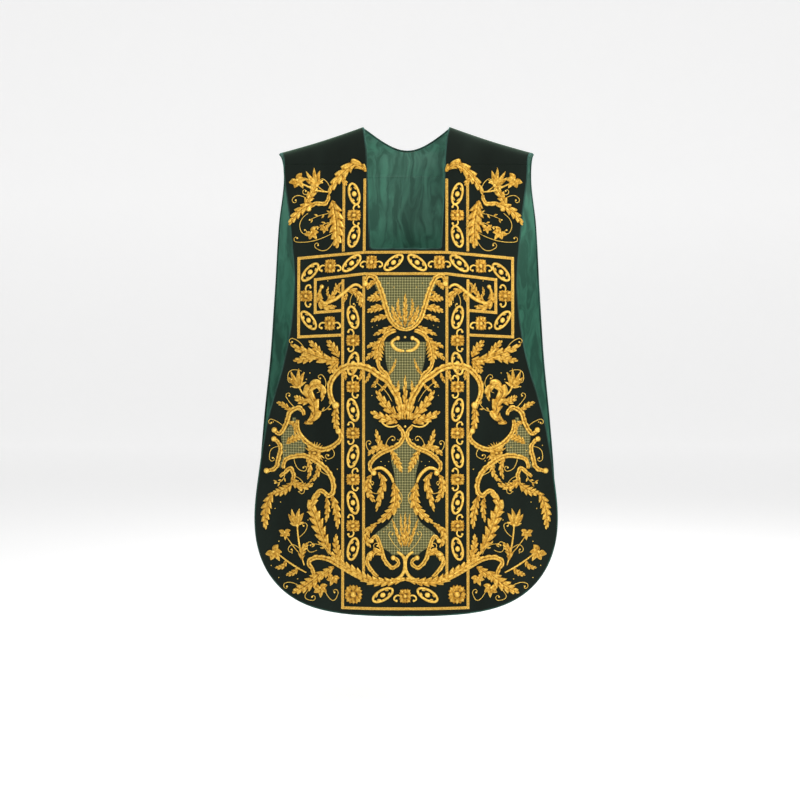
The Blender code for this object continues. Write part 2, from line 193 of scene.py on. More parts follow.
UNDER_ARM = (
    ("leaf", 24.1, 3, ((14.6, 50.8), (15.9, 48.8), (17.3, 47.1))),
    ("leaf", 24.1, 3, ((14.6, 51.7), (15.9, 53), (16.8, 54.3))),
    ("leaf", 29.8, 5, ((14.6, 51.3), (17.4, 51.3), (20.1, 50.4), (23.1, 49.3), (25.6, 47.9))),
    ("leaf", 22.2, 3, ((19.6, 50.6), (22.5, 51.3), (25, 51.5))),
    ("leaf", 20.4, 3, ((18.3, 50.6), (19.8, 48.8), (21.4, 47.1))),
    ("curl", 2.6, 1, ((22.3, 49.1), (23.8, 47.3), (25.3, 46.6))),
    ("tulip", 21.6, 0, ((23.6, 57.4), (24.7, 53.5))),
    ("stem", 4.8, 0, ((21.8, 59.4), (22.9, 58.7), (23.6, 57.4))),
    ("leaf", 31.5, 6, ((22.5, 65.5), (20.1, 63.7), (20.4, 60.9), (21.5, 58.7), (20.1, 56.8),
        (18.4, 57.8), (18.6, 60.5))),
    ("leaf", 22.2, 3, ((21.2, 60.5), (22.9, 60.5), (24.7, 59.4))),
    ("curl", 2.6, 1, ((22.7, 63.1), (24.9, 61.8), (26.7, 59.6))),
    ("curl", 2.6, 1, ((19.6, 58.7), (17.6, 57), (18.3, 54.8))),
    ("spray", 9.5, 4, ((20.3, 62.3), (18.3, 62.7), (16.3, 60.9))),
    ("curl", 2.6, 1, ((23.1, 53.9), (25.8, 53.9), (26.2, 56.1))),
    ("dots", 3.2, 0, ((22.5, 54.3), (22, 55.7), (21.2, 54.3), (17.9, 59.4), (25.6, 57.4))),
)

SIDE_FIELD = (
    ("stem", 12.2, 1, ((22.5, 63.7), (23.5, 62), (25.7, 63), (26.6, 65.5), (28.2, 67.9),
        (29.4, 67.1))),
    ("stem", 12.2, 3, ((29.5, 69.1), (28, 70.8), (28.5, 73.6), (29.1, 75.5), (31.3, 76.3))),
    ("stem", 10.5, 0, ((28.2, 77.5), (26.8, 76.4), (25.7, 75.5), (24.9, 77.1), (25.5, 79.2))),
    ("leaf", 26.2, 4, ((25.3, 78.8), (27.3, 80.5), (30, 81.3))),
    ("leaf", 28, 5, ((29.7, 81), (31.3, 84.7), (31.5, 89.5))),
    ("stem", 12.8, 1, ((24, 64.7), (23.8, 67.3), (22.2, 69.4), (20.1, 70.8), (18, 71.2),
        (15.5, 70.1), (14.2, 68.5), (14.7, 67.1))),
    ("stem", 13, 0, ((27.3, 75.7), (26.8, 73.7), (25, 72.9), (22.2, 72.7), (19.4, 74), (17, 76.1),
        (15.9, 78.5), (16, 80.6), (16.9, 81.4), (18.7, 80.3), (20.1, 82))),
    ("burst", 22, 9, ((20.1, 72),)),
    ("leaf", 22.2, 4, ((16.3, 81.2), (15.2, 84.7), (15, 88.7))),
    ("leaf", 22.2, 4, ((25.4, 77.4), (23.4, 79.4), (20.4, 78.8))),
    ("leaf", 20.4, 4, ((26.6, 70.2), (25.4, 69.2), (22.6, 68.4))),
    ("leaf", 16, 3, ((17.4, 81.6), (17.2, 84.5), (17.6, 87.3))),
    ("leaf", 16, 3, ((25.6, 62.9), (27.1, 61.6), (28.9, 60.9))),
    ("leaf", 14.4, 3, ((26.4, 65.3), (24.7, 66), (24.7, 68.2))),
    ("leaf", 14.4, 3, ((22, 73), (21.2, 75.5), (21.8, 77.9))),
    ("leaf", 14.4, 3, ((19.2, 74.1), (19.6, 76.8), (21.4, 78.5))),
    ("curl", 2.6, 1, ((24.9, 73), (24, 75.5), (22.5, 76.1))),
    ("curl", 2.6, 1, ((16.5, 77.2), (18.3, 76.3), (19.6, 75.5))),
    ("curl", 2.6, 1, ((28.2, 70.8), (30.2, 71.5), (30.6, 73.7))),
    ("curl", 2.6, 1, ((24.9, 77.2), (22.9, 78.5), (22.5, 80.7))),
    ("curl", 2.6, 1, ((26.9, 66.7), (28.6, 65.3), (30.2, 64.7))),
    ("curl", 2.6, 1, ((16.5, 70.6), (15.7, 72.4), (17, 73.3))),
    ("spray", 9.5, 5, ((26.9, 76.6), (27.8, 78.5), (29.3, 79))),
    ("dots", 3, 0, ((29.7, 65.3), (30.6, 70.6), (26.9, 71.7), (23.4, 70.8), (17.6, 73.7),
        (15, 75.5), (23.8, 80.7), (28, 83.2), (29.3, 84.7))),
)

LOWER_FIELD = (
    ("leaf", 35, 7, ((16.6, 93.7), (18.5, 90), (20.1, 85.6), (20.8, 84), (18.7, 80.3))),
    ("tulip", 23, 0, ((24.1, 88.2), (24.5, 84.5))),
    ("stem", 4.8, 0, ((22.5, 97), (23.6, 92.6), (24.1, 88.2))),
    ("curl", 2.6, 1, ((23.4, 93.5), (25.3, 92.6), (26.2, 93.5))),
    ("curl", 2.6, 1, ((23.8, 90.9), (22.3, 89.5), (21.8, 88.2))),
    ("leaf", 20.4, 3, ((22.9, 95.9), (22.9, 93.9), (21.6, 92))),
    ("flower", 22.8, 6, ((27, 89.9),)),
    ("stem", 3.6, 0, ((23.6, 94.4), (25.3, 92.6), (26.9, 90.4))),
    ("flower", 32.3, 7, ((29.7, 94.4),)),
    ("stem", 4.8, 0, ((22, 98.6), (25.6, 96.8), (28.6, 94.8))),
    ("leaf", 16, 3, ((23.8, 97.7), (25.1, 98.8), (26.7, 99.4))),
    ("leaf", 14.4, 3, ((26.7, 96.1), (27.5, 97.5), (29.3, 97.9))),
    ("stem", 13, 0, ((0, 99.4), (4.2, 100.1), (7.6, 100), (11, 98.6), (14.3, 96.8), (17.3, 95.3),
        (20.1, 95.2), (21.5, 96.3), (20.7, 97.7), (20.3, 99), (20.9, 99.7))),
    ("leaf", 26.2, 13, ((0.4, 99.6), (4.2, 100.1), (7.6, 99.8), (11, 98.0), (14.6, 95.8),
        (17.6, 92.6))),
    ("leaf", 20.4, 4, ((14.1, 95.7), (15.2, 92.6), (15.2, 89.8))),
    ("leaf", 33.2, 5, ((18.3, 98.1), (21.4, 101), (25.2, 103.2))),
    ("leaf", 22.2, 3, ((15.7, 97), (18.3, 99), (19.6, 100.1))),
    ("flower", 28.5, 6, ((18.9, 101.8),)),
    ("flower", 24.7, 6, ((16, 99.5),)),
    ("curl", 2.6, 1, ((17.9, 102.3), (15.9, 104.5), (14.8, 102.7))),
    ("curl", 2.6, 1, ((20.9, 101.9), (22.3, 104.1), (20.5, 104.7))),
    ("curl", 2.6, 1, ((23.1, 101.9), (25.8, 101), (27.1, 101.4))),
    ("spray", 9.5, 4, ((17, 94.4), (18.3, 92.6), (20.5, 92.2))),
    ("curl", 2.6, 1, ((19.6, 93.5), (21.4, 93.9), (21.8, 92.2))),
    ("dots", 3, 0, ((28.4, 92), (25.3, 94.4), (30.2, 97.5), (28.4, 100.1), (24, 100.1),
        (22.5, 93.7), (20.1, 88.7), (18.3, 86.5), (21.6, 86.9))),
)

COLUMN_FIELD = (
    ("stem", 12.8, 2, ((8.8, 34.6), (8.2, 32.9), (6.9, 33.1), (5.4, 35.9), (4.2, 39.8), (3.2, 42.5),
        (1.6, 44.2), (0, 44.7))),
    ("leaf", 16, 3, ((6, 34.3), (7.3, 34.5), (8.4, 35.9))),
    ("leaf", 8.8, 2, ((5.3, 36.3), (6, 36.5), (7.1, 37.2))),
    ("leaf", 20.4, 3, ((4.9, 38.1), (6.4, 37.8), (8.4, 38.1))),
    ("leaf", 20.4, 3, ((4.2, 40), (6.2, 40), (8.4, 40.9))),
    ("leaf", 16, 3, ((3.6, 42), (5.3, 42), (7.6, 43))),
    ("leaf", 14.4, 3, ((2.7, 44), (4.7, 44.9), (7, 46))),
    ("dots", 2.6, 0, ((7.5, 39.8), (6.6, 39.4), (7.2, 44.2), (6.2, 43.8), (3.8, 34.5),
        (2.5, 35.4))),
    ("leaf", 14.4, 3, ((0.5, 44), (2, 42.2), (2.9, 39.4))),
    ("leaf", 10, 3, ((0.7, 42.7), (1.6, 40), (1.4, 37.8))),
    ("stem", 8.8, 1, ((0.2, 49.4), (2.0, 49.0), (2.9, 47.6), (1.6, 46.6))),
    ("stem", 12.2, 0, ((2, 44.9), (4.2, 45.8), (4.9, 47.2))),
    ("leaf", 31.5, 5, ((4.7, 46.4), (5.8, 48.8), (5.8, 52.1))),
    ("leaf", 14.4, 3, ((5.3, 48.4), (7.1, 48), (8.4, 48.8))),
    ("leaf", 16, 3, ((5.5, 50.2), (7.3, 50.2), (8.6, 51.5))),
    ("stem", 10.5, 0, ((6, 51.3), (5.5, 53.2), (3.9, 54.8), (3.6, 55.9))),
    ("leaf", 8.8, 3, ((4, 55), (2.7, 53.2), (2, 51))),
    ("stem", 15.9, 2, ((15.3, 61.4), (16.5, 59.4), (16.6, 56.7), (15.5, 54.7), (13.8, 53.2),
        (11.7, 52.7), (9.3, 52.8), (7.3, 53.6), (6, 54.6), (3.9, 56), (2.6, 58), (1.2, 60.7),
        (0.9, 64.4))),
    ("leaf", 10, 2, ((13.5, 53.5), (13.2, 54.6), (13.2, 55.9))),
    ("leaf", 10, 2, ((11.7, 53.2), (11.5, 54.6), (11.7, 55.9))),
    ("leaf", 10, 2, ((9.7, 53.5), (9.7, 54.8), (10.2, 56.1))),
    ("leaf", 10, 2, ((7.7, 54.1), (8.2, 55.4), (8.8, 56.5))),
    ("leaf", 10, 2, ((5.8, 55.2), (6.6, 56.5), (7.5, 57.4))),
    ("leaf", 10, 2, ((3.8, 56.5), (4.9, 57.6), (6, 58.5))),
    ("leaf", 20.4, 4, ((15, 61.2), (15.4, 64.2), (14.6, 68))),
    ("leaf", 16, 3, ((0.7, 64), (1.6, 60.1), (1.4, 55.9))),
    ("leaf", 25.9, 4, ((1.1, 64.5), (3.8, 61.8), (6.4, 58.1))),
    ("leaf", 25.9, 3, ((1.6, 65.1), (4.7, 64.2), (7.6, 62.7))),
    ("curl", 4.4, 1, ((1.4, 65.6), (3.8, 66), (5.3, 64.7))),
    ("curl", 2.6, 1, ((2.9, 60.5), (4.4, 58.1), (6.2, 56.5))),
    ("stem", 12.2, 1, ((1.6, 65.9), (0.4, 67.8), (1.1, 69.6), (2.9, 70.8), (4.9, 71.6), (7.1, 73.3),
        (7.8, 74.8), (6.9, 76.2))),
    ("leaf", 20.4, 4, ((3.1, 71.1), (1.8, 73.7), (0.7, 76.1))),
    ("leaf", 20.4, 3, ((3.4, 70.8), (5.8, 70.6), (8.2, 72.4))),
    ("leaf", 22.2, 4, ((7.4, 76.6), (8.2, 79.6), (6.6, 82.6))),
    ("leaf", 20.4, 3, ((6.2, 87.6), (8.4, 89.6), (7.6, 92.6))),
    ("leaf", 20.4, 3, ((4.6, 94.6), (6.6, 93.6), (8.4, 96.2))),
    ("leaf", 16, 3, ((4.7, 71.5), (5.8, 69.1), (6.4, 66.6))),
    ("curl", 2.6, 1, ((6, 72.4), (8, 71.3), (8.6, 69.7))),
    ("curl", 2.6, 1, ((4.2, 71.3), (4, 69.3), (3.1, 68.2))),
    ("stem", 8.8, 0, ((7.1, 75.7), (5.3, 75.1), (3.6, 76.3), (2.6, 78.3))),
    ("leaf", 28, 6, ((2.6, 78.3), (2.1, 81), (2.4, 83.5), (3.9, 85.4), (6.3, 87.3))),
    ("stem", 4.8, 1, ((6.2, 87.2), (7.5, 88), (8.2, 89.3))),
    ("leaf", 20.4, 4, ((6, 76.1), (4.8, 78.1), (5.3, 80.7), (6.4, 84.7))),
    ("curl", 2.6, 1, ((2.5, 79.9), (0.9, 80.7), (0.9, 82.7))),
    ("curl", 2.6, 1, ((5.3, 80.7), (7.5, 80.3), (8, 78.5))),
    ("stem", 10.5, 3, ((7.4, 91.1), (6.4, 90.1), (5.4, 92.4), (4.4, 95.5), (2.7, 97), (1.4, 95.8),
        (2.6, 94.8))),
    ("stem", 8.8, 0, ((1.8, 93.5), (0.3, 94.8), (0.1, 97.2), (0.9, 98.8), (2.9, 99.8))),
    ("stem", 10.5, 2, ((7.6, 94.1), (8.4, 95.7), (7.5, 97.5), (6, 99))),
    ("leaf", 8.8, 3, ((0.3, 92.2), (0.8, 88.7), (1, 85.1))),
    ("leaf", 10, 3, ((0.7, 92.6), (1.8, 89.3), (2.9, 86.2))),
    ("curl", 2.6, 1, ((1.1, 93.1), (2.5, 91.7), (3.6, 89.8))),
    ("curl", 2.6, 1, ((5.1, 94.4), (6.2, 93.5), (6.9, 92.4))),
    ("dots", 2.6, 0, ((4.7, 89.1), (3.8, 88.2), (7.1, 82.5), (4, 77.7), (5.3, 73.7), (4.4, 74.6),
        (3.6, 73.7), (1.6, 68.9), (7.3, 59.2), (3.3, 50.8))),
)

ARM = (
    ("stem", 8.8, 2, ((18.5, 35.2), (19.1, 37.2), (18.1, 38.8), (15.7, 38.1), (13.7, 36.7),
        (11, 34.8), (9.6, 35.6))),
    ("curl", 2.6, 1, ((11.5, 36.7), (12.1, 38.1), (12.1, 39.4))),
    ("leaf", 20.4, 4, ((18.9, 36.0), (18.4, 39.2), (15.2, 39.6))),
    ("leaf", 20.4, 3, ((12.8, 36.2), (10.6, 36.8), (9.8, 39.8))),
    ("leaf", 14.4, 3, ((17.6, 38.6), (15.6, 36.4), (15.4, 34.4))),
    ("leaf", 8.8, 3, ((16.1, 38.1), (17.2, 36.7), (17, 35.2))),
    ("leaf", 8.8, 3, ((14.1, 37), (14.8, 35.4), (13.9, 34.1))),
    ("leaf", 8.8, 3, ((13, 36.3), (13.2, 37.8), (14.1, 38.9))),
    ("dots", 2.6, 0, ((15.9, 39.4), (10.6, 37.4), (10.6, 38.7), (17.2, 33.9))),
)

# On the centre line, and so not turned over.
CENTRE_LINE = (
    ("leaf", 14, 4, ((0, 44.2), (0, 40.7), (0, 36.7))),
    ("leaf", 14, 4, ((0, 64.5), (0, 59.6), (0, 54.6))),
    ("leaf", 10, 4, ((0, 92.4), (0, 88.7), (0, 84.7))),
    ("dots", 6, 0, ((0, 46.4), (0, 66.0))),
)

BACK_HEAD = (
    ("leaf", 14, 4, ((0, 28.5), (0, 24.0), (0, 19.8))),
    ("leaf", 12, 4, ((0.6, 28.5), (2.6, 26.0), (3.6, 22.6))),
    ("leaf", 12, 4, ((1.0, 29.2), (3.8, 28.2), (5.6, 25.8))),
    ("stem", 7, 3, ((0.8, 30.0), (2.6, 31.6), (5.0, 31.0), (5.6, 28.6))),
    ("stem", 7, 1, ((1.6, 18.6), (3.6, 17.0), (6.0, 15.6), (6.6, 13.4), (5.0, 12.6))),
    ("leaf", 12, 4, ((3.0, 17.4), (3.4, 15.0), (2.4, 12.4))),
    ("leaf", 10, 3, ((5.4, 16.2), (7.4, 16.8), (8.4, 18.8))),
    ("leaf", 13, 4, ((0, 18.6), (0, 15.6), (0, 12.6))),
)


def smooth_through(knots, at):
    """A smooth curve through (place, value) knots, read at one place or at many."""
    places = np.array([k[0] for k in knots], float)
    values = np.array([k[1] for k in knots], float)
    slopes = np.zeros(len(knots))
    slopes[1:-1] = (values[2:] - values[:-2]) / (places[2:] - places[:-2])
    at = np.asarray(at, float)
    i = np.clip(np.searchsorted(places, at, side="right") - 1, 0, len(knots) - 2)
    step = places[i + 1] - places[i]
    t = (at - places[i]) / step
    bend = slopes[i] * step * t * (1 - t) ** 2 - slopes[i + 1] * step * t * t * (1 - t)
    return values[i] + (values[i + 1] - values[i]) * t * t * (3 - 2 * t) + bend


class HangingPanel:
    """The outer face of one hanging panel. side is -1 for the front and +1 for the back."""

    def __init__(self, body, side, seam, length, sides, bow, curl, ripple):
        self.body = body
        self.side = side
        self.seam_reach, self.seam_drop = seam
        self.length = length
        self.sides = sides
        self.bow = bow
        self.curl = curl
        self.ripple = ripple

    def reach(self, x, drop):
        """How far the outer face stands out at x and a drop below the crest."""
        share = np.clip((drop - self.seam_drop) / SWELL_DROP, 0.0, 1.0)
        swell = share * share * (3.0 - 2.0 * share)
        edge = np.clip((np.abs(x) - 0.13) / 0.17, 0.0, 1.0) ** 2
        wave = np.sin(x * 43.0 + 2.2 * np.sin(drop * 5.0)) * (0.25 + edge)
        wave = wave + 0.5 * np.sin(drop * 17.0 + x * 9.0) * edge
        return self.seam_reach + swell * (
            self.bow - self.curl * (x / 0.3) ** 2 + self.ripple * wave
        )

    def place(self, x, drop, height=0.0):
        """Points that stand a height off the outer face, along its normal."""
        x, drop = np.asarray(x, float), np.asarray(drop, float)
        out = self.normal(x, drop)
        base = np.stack([x, self.side * self.reach(x, drop), -drop], axis=-1)
        return base + out * np.asarray(height, float)[..., None]

    def normal(self, x, drop):
        step = 0.0005
        slope_x = (self.reach(x + step, drop) - self.reach(x - step, drop)) / (2 * step)
        slope_d = (self.reach(x, drop + step) - self.reach(x, drop - step)) / (2 * step)
        out = np.stack([-slope_x, np.full_like(slope_x, self.side), slope_d], axis=-1)
        return out / np.linalg.norm(out, axis=-1, keepdims=True)

    def under(self, x, drop, depth):
        """Points a depth behind the outer face, straight towards the wearer."""
        x, drop = np.asarray(x, float), np.asarray(drop, float)
        return np.stack([x, self.side * (self.reach(x, drop) - depth), -drop], axis=-1)

    def outline(self, inset, along_side, round_corner):
        """(half width, drop) rows down one side and round the hem's corner."""
        corner = self.sides[-1][0]
        widths = smooth_through(self.sides, along_side) - inset
        turn = np.sin(np.linspace(0, math.pi / 2, round_corner + 1)[1:])
        fall = (1.0 - np.minimum(turn, 0.9995) ** 2.2) ** (1 / 3.8)
        widths = np.concatenate([widths, (WIDEST - inset) * fall])
        drops = np.concatenate([along_side, corner + (self.length - corner - inset) * turn])
        return widths, drops

    def hinge_blend(self, piece):
        """Bakes a piece's placement into its mesh; it is not bent over the seam."""
        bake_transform(piece)


FRONT = HangingPanel("front_panel", -1, FRONT_SEAM, FRONT_LENGTH, FRONT_SIDES, 0.056, 0.068, 0.0014)
BACK = HangingPanel("back_panel", 1, BACK_SEAM, BACK_LENGTH, BACK_SIDES, 0.045, 0.080, 0.0032)


def curve_through(points, pitch):
    """Evenly spaced points on a smooth curve through its control points."""
    p = np.array(points, float)
    chord = np.linalg.norm(np.diff(p, axis=0), axis=1) ** 0.5
    slopes = np.zeros_like(p)
    if len(p) > 2:
        before = (p[1:-1] - p[:-2]) / chord[:-1, None]
        after = (p[2:] - p[1:-1]) / chord[1:, None]
        share = chord[:-1, None] / (chord[:-1, None] + chord[1:, None])
        slopes[1:-1] = before * (1 - share) + after * share
        slopes[0] = 2 * (p[1] - p[0]) / chord[0] - slopes[1]
        slopes[-1] = 2 * (p[-1] - p[-2]) / chord[-1] - slopes[-2]
    else:
        slopes[:] = (p[1] - p[0]) / chord[0]
    fine = []
    for i, step in enumerate(chord):
        u = np.linspace(0, 1, 24, endpoint=False)[:, None]
        near = (1 + 2 * u) * (1 - u) ** 2 * p[i] + u * (1 - u) ** 2 * step * slopes[i]
        far = u * u * (3 - 2 * u) * p[i + 1] - u * u * (1 - u) * step * slopes[i + 1]
        fine.append(near + far)
    fine = np.concatenate([*fine, p[-1:]])
    return evenly(fine, pitch)


def evenly(points, pitch):
    """The same line with its points spaced as near as fits to a pitch."""
    run = np.concatenate([[0.0], np.cumsum(np.linalg.norm(np.diff(points, axis=0), axis=1))])
    count = max(int(round(run[-1] / pitch)), 2) + 1
    at = np.linspace(0, run[-1], count)
    return np.stack([np.interp(at, run, points[:, k]) for k in range(points.shape[1])], axis=1)


def directions(path):
    """Unit tangents of a path, and how far along it each point lies."""
    tangent = np.gradient(path, axis=0)
    tangent /= np.maximum(np.linalg.norm(tangent, axis=1, keepdims=True), 1e-9)
    steps = np.linalg.norm(np.diff(path, axis=0), axis=1)
    return tangent, np.concatenate([[0.0], np.cumsum(steps)])


def link_piece(name, mesh, material, recalculate=True):
    """An object from a bmesh or a mesh, with its faces turned outwards and shaded smooth."""
    if isinstance(mesh, bmesh.types.BMesh):
        data = bpy.data.meshes.new(name)
        mesh.to_mesh(data)
        mesh.free()
        mesh = data
    if recalculate:
        work = bmesh.new()
        work.from_mesh(mesh)
        bmesh.ops.recalc_face_normals(work, faces=work.faces)
        work.to_mesh(mesh)
        work.free()
    obj = bpy.data.objects.new(name, mesh)
    bpy.context.scene.collection.objects.link(obj)
    if material:
        mesh.materials.clear()
        mesh.materials.append(material)
    mesh.shade_smooth()
    return obj


def add_uv(mesh, name, places):
    """A UV map from one (u, v) place for each vertex."""
    layer = mesh.uv_layers.new(name=name)
    corners = np.zeros(len(mesh.loops), np.int32)
    mesh.loops.foreach_get("vertex_index", corners)
    layer.data.foreach_set("uv", np.asarray(places, np.float32)[corners].ravel())


class Relief:
    """Raised work drawn flat: x across and drop down in metres, height off the cloth."""

    def __init__(self):
        self.points = []
        self.threads = []
        self.painted_shadings = []
        self.faces = []
        self.count = 0

    def add(self, points, threads, painted_shading, faces):
        """Points (n, 3), their place along and across the thread lay, and faces of them."""
        self.points.append(points)
        self.threads.append(threads)
        self.painted_shadings.append(np.broadcast_to(painted_shading, len(points)))
        self.faces += [[v + self.count for v in face] for face in faces]
        self.count += len(points)

    def strip(self, path, left, right, sides, heights, painted_shading, sweep=0.0, closed=False):
        """A raised strip along a path: side places from -1 to 1 and a height for each."""
        tangent, along = directions(path)
        if closed:
            tangent[0] = tangent[-1] = path[1] - path[-2]
            tangent[0] /= np.linalg.norm(tangent[0])
            tangent[-1] = tangent[0]
            path, tangent, along = path[:-1], tangent[:-1], along[:-1]
            left, right, heights = left[:-1], right[:-1], heights[:-1]
        across = np.stack([-tangent[:, 1], tangent[:, 0]], axis=1)
        sides = np.asarray(sides, float)
        width = np.where(sides[None, :] < 0, left[:, None], right[:, None])
        offset = width * sides[None, :]
        flat = path[:, None, :] + across[:, None, :] * offset[..., None]
        flat = flat + tangent[:, None, :] * (sweep * np.abs(offset))[..., None]
        rows, columns = offset.shape
        points = np.concatenate([flat, heights[..., None]], axis=2).reshape(-1, 3)
        threads = np.stack([np.repeat(along, columns), offset.ravel()], axis=1)
        painted_shading = np.broadcast_to(painted_shading, (rows, columns)).ravel()
        faces = []
        last = rows if closed else rows - 1
        for i in range(last):
            a, b = i * columns, ((i + 1) % rows) * columns
            for k in range(columns):
                n = (k + 1) % columns
                faces.append((a + k, a + n, b + n, b + k))
        if not closed:
            faces.append(tuple(range(columns)))
            faces.append(tuple((rows - 1) * columns + k for k in range(columns)))
        self.add(points, threads, painted_shading, faces)

    def mirror(self):
        """The same work turned over to the other side of the centre line."""
        other = Relief()
        other.points = [p * (-1, 1, 1) for p in self.points]
        other.threads = self.threads
        other.painted_shadings = self.painted_shadings
        other.faces = self.faces
        other.count = self.count
        return other

    def join(self, other):
        self.points += other.points
        self.threads += other.threads
        self.painted_shadings += other.painted_shadings
        self.faces += [[v + self.count for v in face] for face in other.faces]
        self.count += other.count

    def make(self, name, panel, material):
        """The piece, laid on a panel's outer face."""
        flat = np.concatenate(self.points)
        mesh = bpy.data.meshes.new(name)
        places = panel.place(flat[:, 0], flat[:, 1], flat[:, 2])
        mesh.from_pydata(places.tolist(), [], self.faces)
        add_uv(mesh, "thread", np.concatenate(self.threads))
        # Each point keeps its painted shading as an attribute, which the gold thread's shader turns
        # into painted shade and highlight.
        painted_shading = mesh.attributes.new("painted_shading", "FLOAT", "POINT")
        painted_shading.data.foreach_set("value", np.concatenate(self.painted_shadings).astype(np.float32))
        return link_piece(name, mesh, material)


# Rows across each kind of strip: side places, heights and painted shading. The shading rows put
# painted shade at the sunk edges and in veins and furrows, and a painted highlight on the crests.
SUNK = -0.0004
STEM_SIDES = (-1.0, -0.72, 0.0, 0.72, 1.0)
STEM_HEIGHTS = np.array((0.0, 0.72, 1.0, 0.72, 0.0))
STEM_PAINTED_SHADING = np.array((0.0, 0.85, 1.0, 0.85, 0.0))
CURL_SIDES = (-1.0, 0.0, 1.0)
CURL_HEIGHTS = np.array((0.0, 1.0, 0.0))
CURL_PAINTED_SHADING = np.array((0.35, 1.0, 0.35))
BLADE_HEIGHTS = np.array((0.0, 0.85, 0.70, 0.85, 0.0))
BLADE_PAINTED_SHADING = np.array((0.0, 1.0, 0.55, 1.0, 0.0))
LEAF_SIDES = np.array((-1.0, -0.86, -0.50, -0.12, 0.0, 0.12, 0.50, 0.86, 1.0))
LEAF_HEIGHTS = np.array((0.0, 0.70, 1.0, 0.95, 0.55, 0.95, 1.0, 0.70, 0.0))
LEAF_PAINTED_SHADING = np.array((0.0, 1.1, 0.55, 0.75, 0.05, 0.75, 0.55, 1.1, 0.0))
LEAF_CREASE = np.array((1.0, 1.0, 0.9, 0.4, 0.0, 0.4, 0.9, 1.0, 1.0))
RIBBON_SIDES = (-1.0, -0.82, -0.18, 0.0, 0.18, 0.82, 1.0)
RIBBON_HEIGHTS = np.array((0.0, 0.85, 1.0, 0.55, 1.0, 0.85, 0.0))
RIBBON_PAINTED_SHADING = np.array((0.0, 1.1, 0.65, 0.05, 0.65, 1.1, 0.0))


def raised(profile, height):
    """Heights of each row of a strip, with its edges sunk into the cloth."""
    rows = height[:, None] * profile[None, :]
    rows[:, profile == 0.0] = SUNK
    return rows


def sideways(way):
    return np.array((-way[1], way[0]))


def draw_stem(relief, width, ends, points, painted_shading=0.72):
    """A padded stem. ends is 1 for a bead at its end, 2 at its start, 3 at both. A broad one
    is a ribbon with scallops along the inside of its bend."""
    path = curve_through(points, max(0.24 * width, 0.0012))
    t = np.linspace(0, 1, len(path))
    half = 0.5 * width * (0.5 + 0.5 * np.sin(np.pi * (t * 0.9 + 0.05)) ** 0.6)
    thin = width < 0.004
    sides, profile, painted_shadings = STEM_SIDES, STEM_HEIGHTS, STEM_PAINTED_SHADING
    if thin:
        sides, profile, painted_shadings = CURL_SIDES, CURL_HEIGHTS, CURL_PAINTED_SHADING
    broad = width > 0.009
    if broad:
        sides, profile, painted_shadings = RIBBON_SIDES, RIBBON_HEIGHTS, RIBBON_PAINTED_SHADING
    high = (0.0012 + 0.14 * width) * (0.6 + 0.4 * half / half.max())
    left = right = half
    # Painted shade and highlight across the stem, from its profile's shading row.
    shade = painted_shading * np.tile(painted_shadings, (len(path), 1))
    if broad:
        tangent, along = directions(path)
        turn = tangent[:-1, 0] * tangent[1:, 1] - tangent[:-1, 1] * tangent[1:, 0]
        bump = np.abs(np.sin(np.pi * along / SCALLOP)) ** 0.7
        scalloped = half * (0.62 + 0.50 * bump)
        left, right = (scalloped, half) if turn.sum() > 0 else (half, scalloped)
        # Stripes of a ribbon: the furrows between them are sunk and painted with shade.
        stripe = (along / STRIPE) % 1.0
        high = high * (0.76 + 0.24 * np.sin(np.pi * stripe))
        shade = shade * (0.60 + 0.44 * np.sin(np.pi * stripe))[:, None]
    relief.strip(path, left, right, sides, raised(profile, high), shade)
    bead = 0.0024 if thin else 0.52 * width + 0.0008
    # A bead gets a slightly stronger painted highlight than its stem.
    for bit, place in ((1, path[-1]), (2, path[0])):
        if ends & bit:
            draw_dome(relief, place, bead, bead, 0.0, 0.0012 + 0.55 * bead, painted_shading + 0.1)


def draw_curl(relief, width, turns, points):
    """A fine tendril that ends in a spiral with a bead."""
    path = curve_through(points, 0.003)
    way = path[-1] - path[-2]
    start = math.atan2(way[1], way[0])
    turn = path[-2] - path[-3] if len(path) > 2 else way
    bend = way[0] * turn[1] - way[1] * turn[0]
    hand = -1.0 if bend > 0 else 1.0
    spiral = [tuple(path[-1])]
    steps = int(10 * turns)
    for i in range(1, steps + 1):
        heading = start + hand * 2 * math.pi * turns * 0.78 * i / steps
        pace = 0.0029 * (1.25 - i / steps)
        x, y = spiral[-1]
        spiral.append((x + pace * math.cos(heading), y + pace * math.sin(heading)))
    whole = np.concatenate([path[:-1], np.array(spiral)])
    draw_stem(relief, width, 1, whole[:: max(len(whole) // 14, 1)], painted_shading=0.95)


def draw_blade(relief, width, points, painted_shading=0.62, pitch=0.0016, high=None):
    """One pointed leaflet with a sunk vein."""
    path = curve_through(points, pitch)
    t = np.linspace(0, 1, len(path))
    body = np.maximum(np.sin(np.pi * t ** 0.8) ** 0.85, 0.03)
    half = 0.5 * width * body
    peak = (high or 0.0011 + 0.10 * width) * (0.55 + 0.45 * body)
    # Painted shading from the blade's profile row, lighter towards its tip.
    shade = painted_shading * (0.78 + 0.30 * t)[:, None] * BLADE_PAINTED_SHADING[None, :]
    relief.strip(path, half, half, STEM_SIDES, raised(BLADE_HEIGHTS, peak), shade)


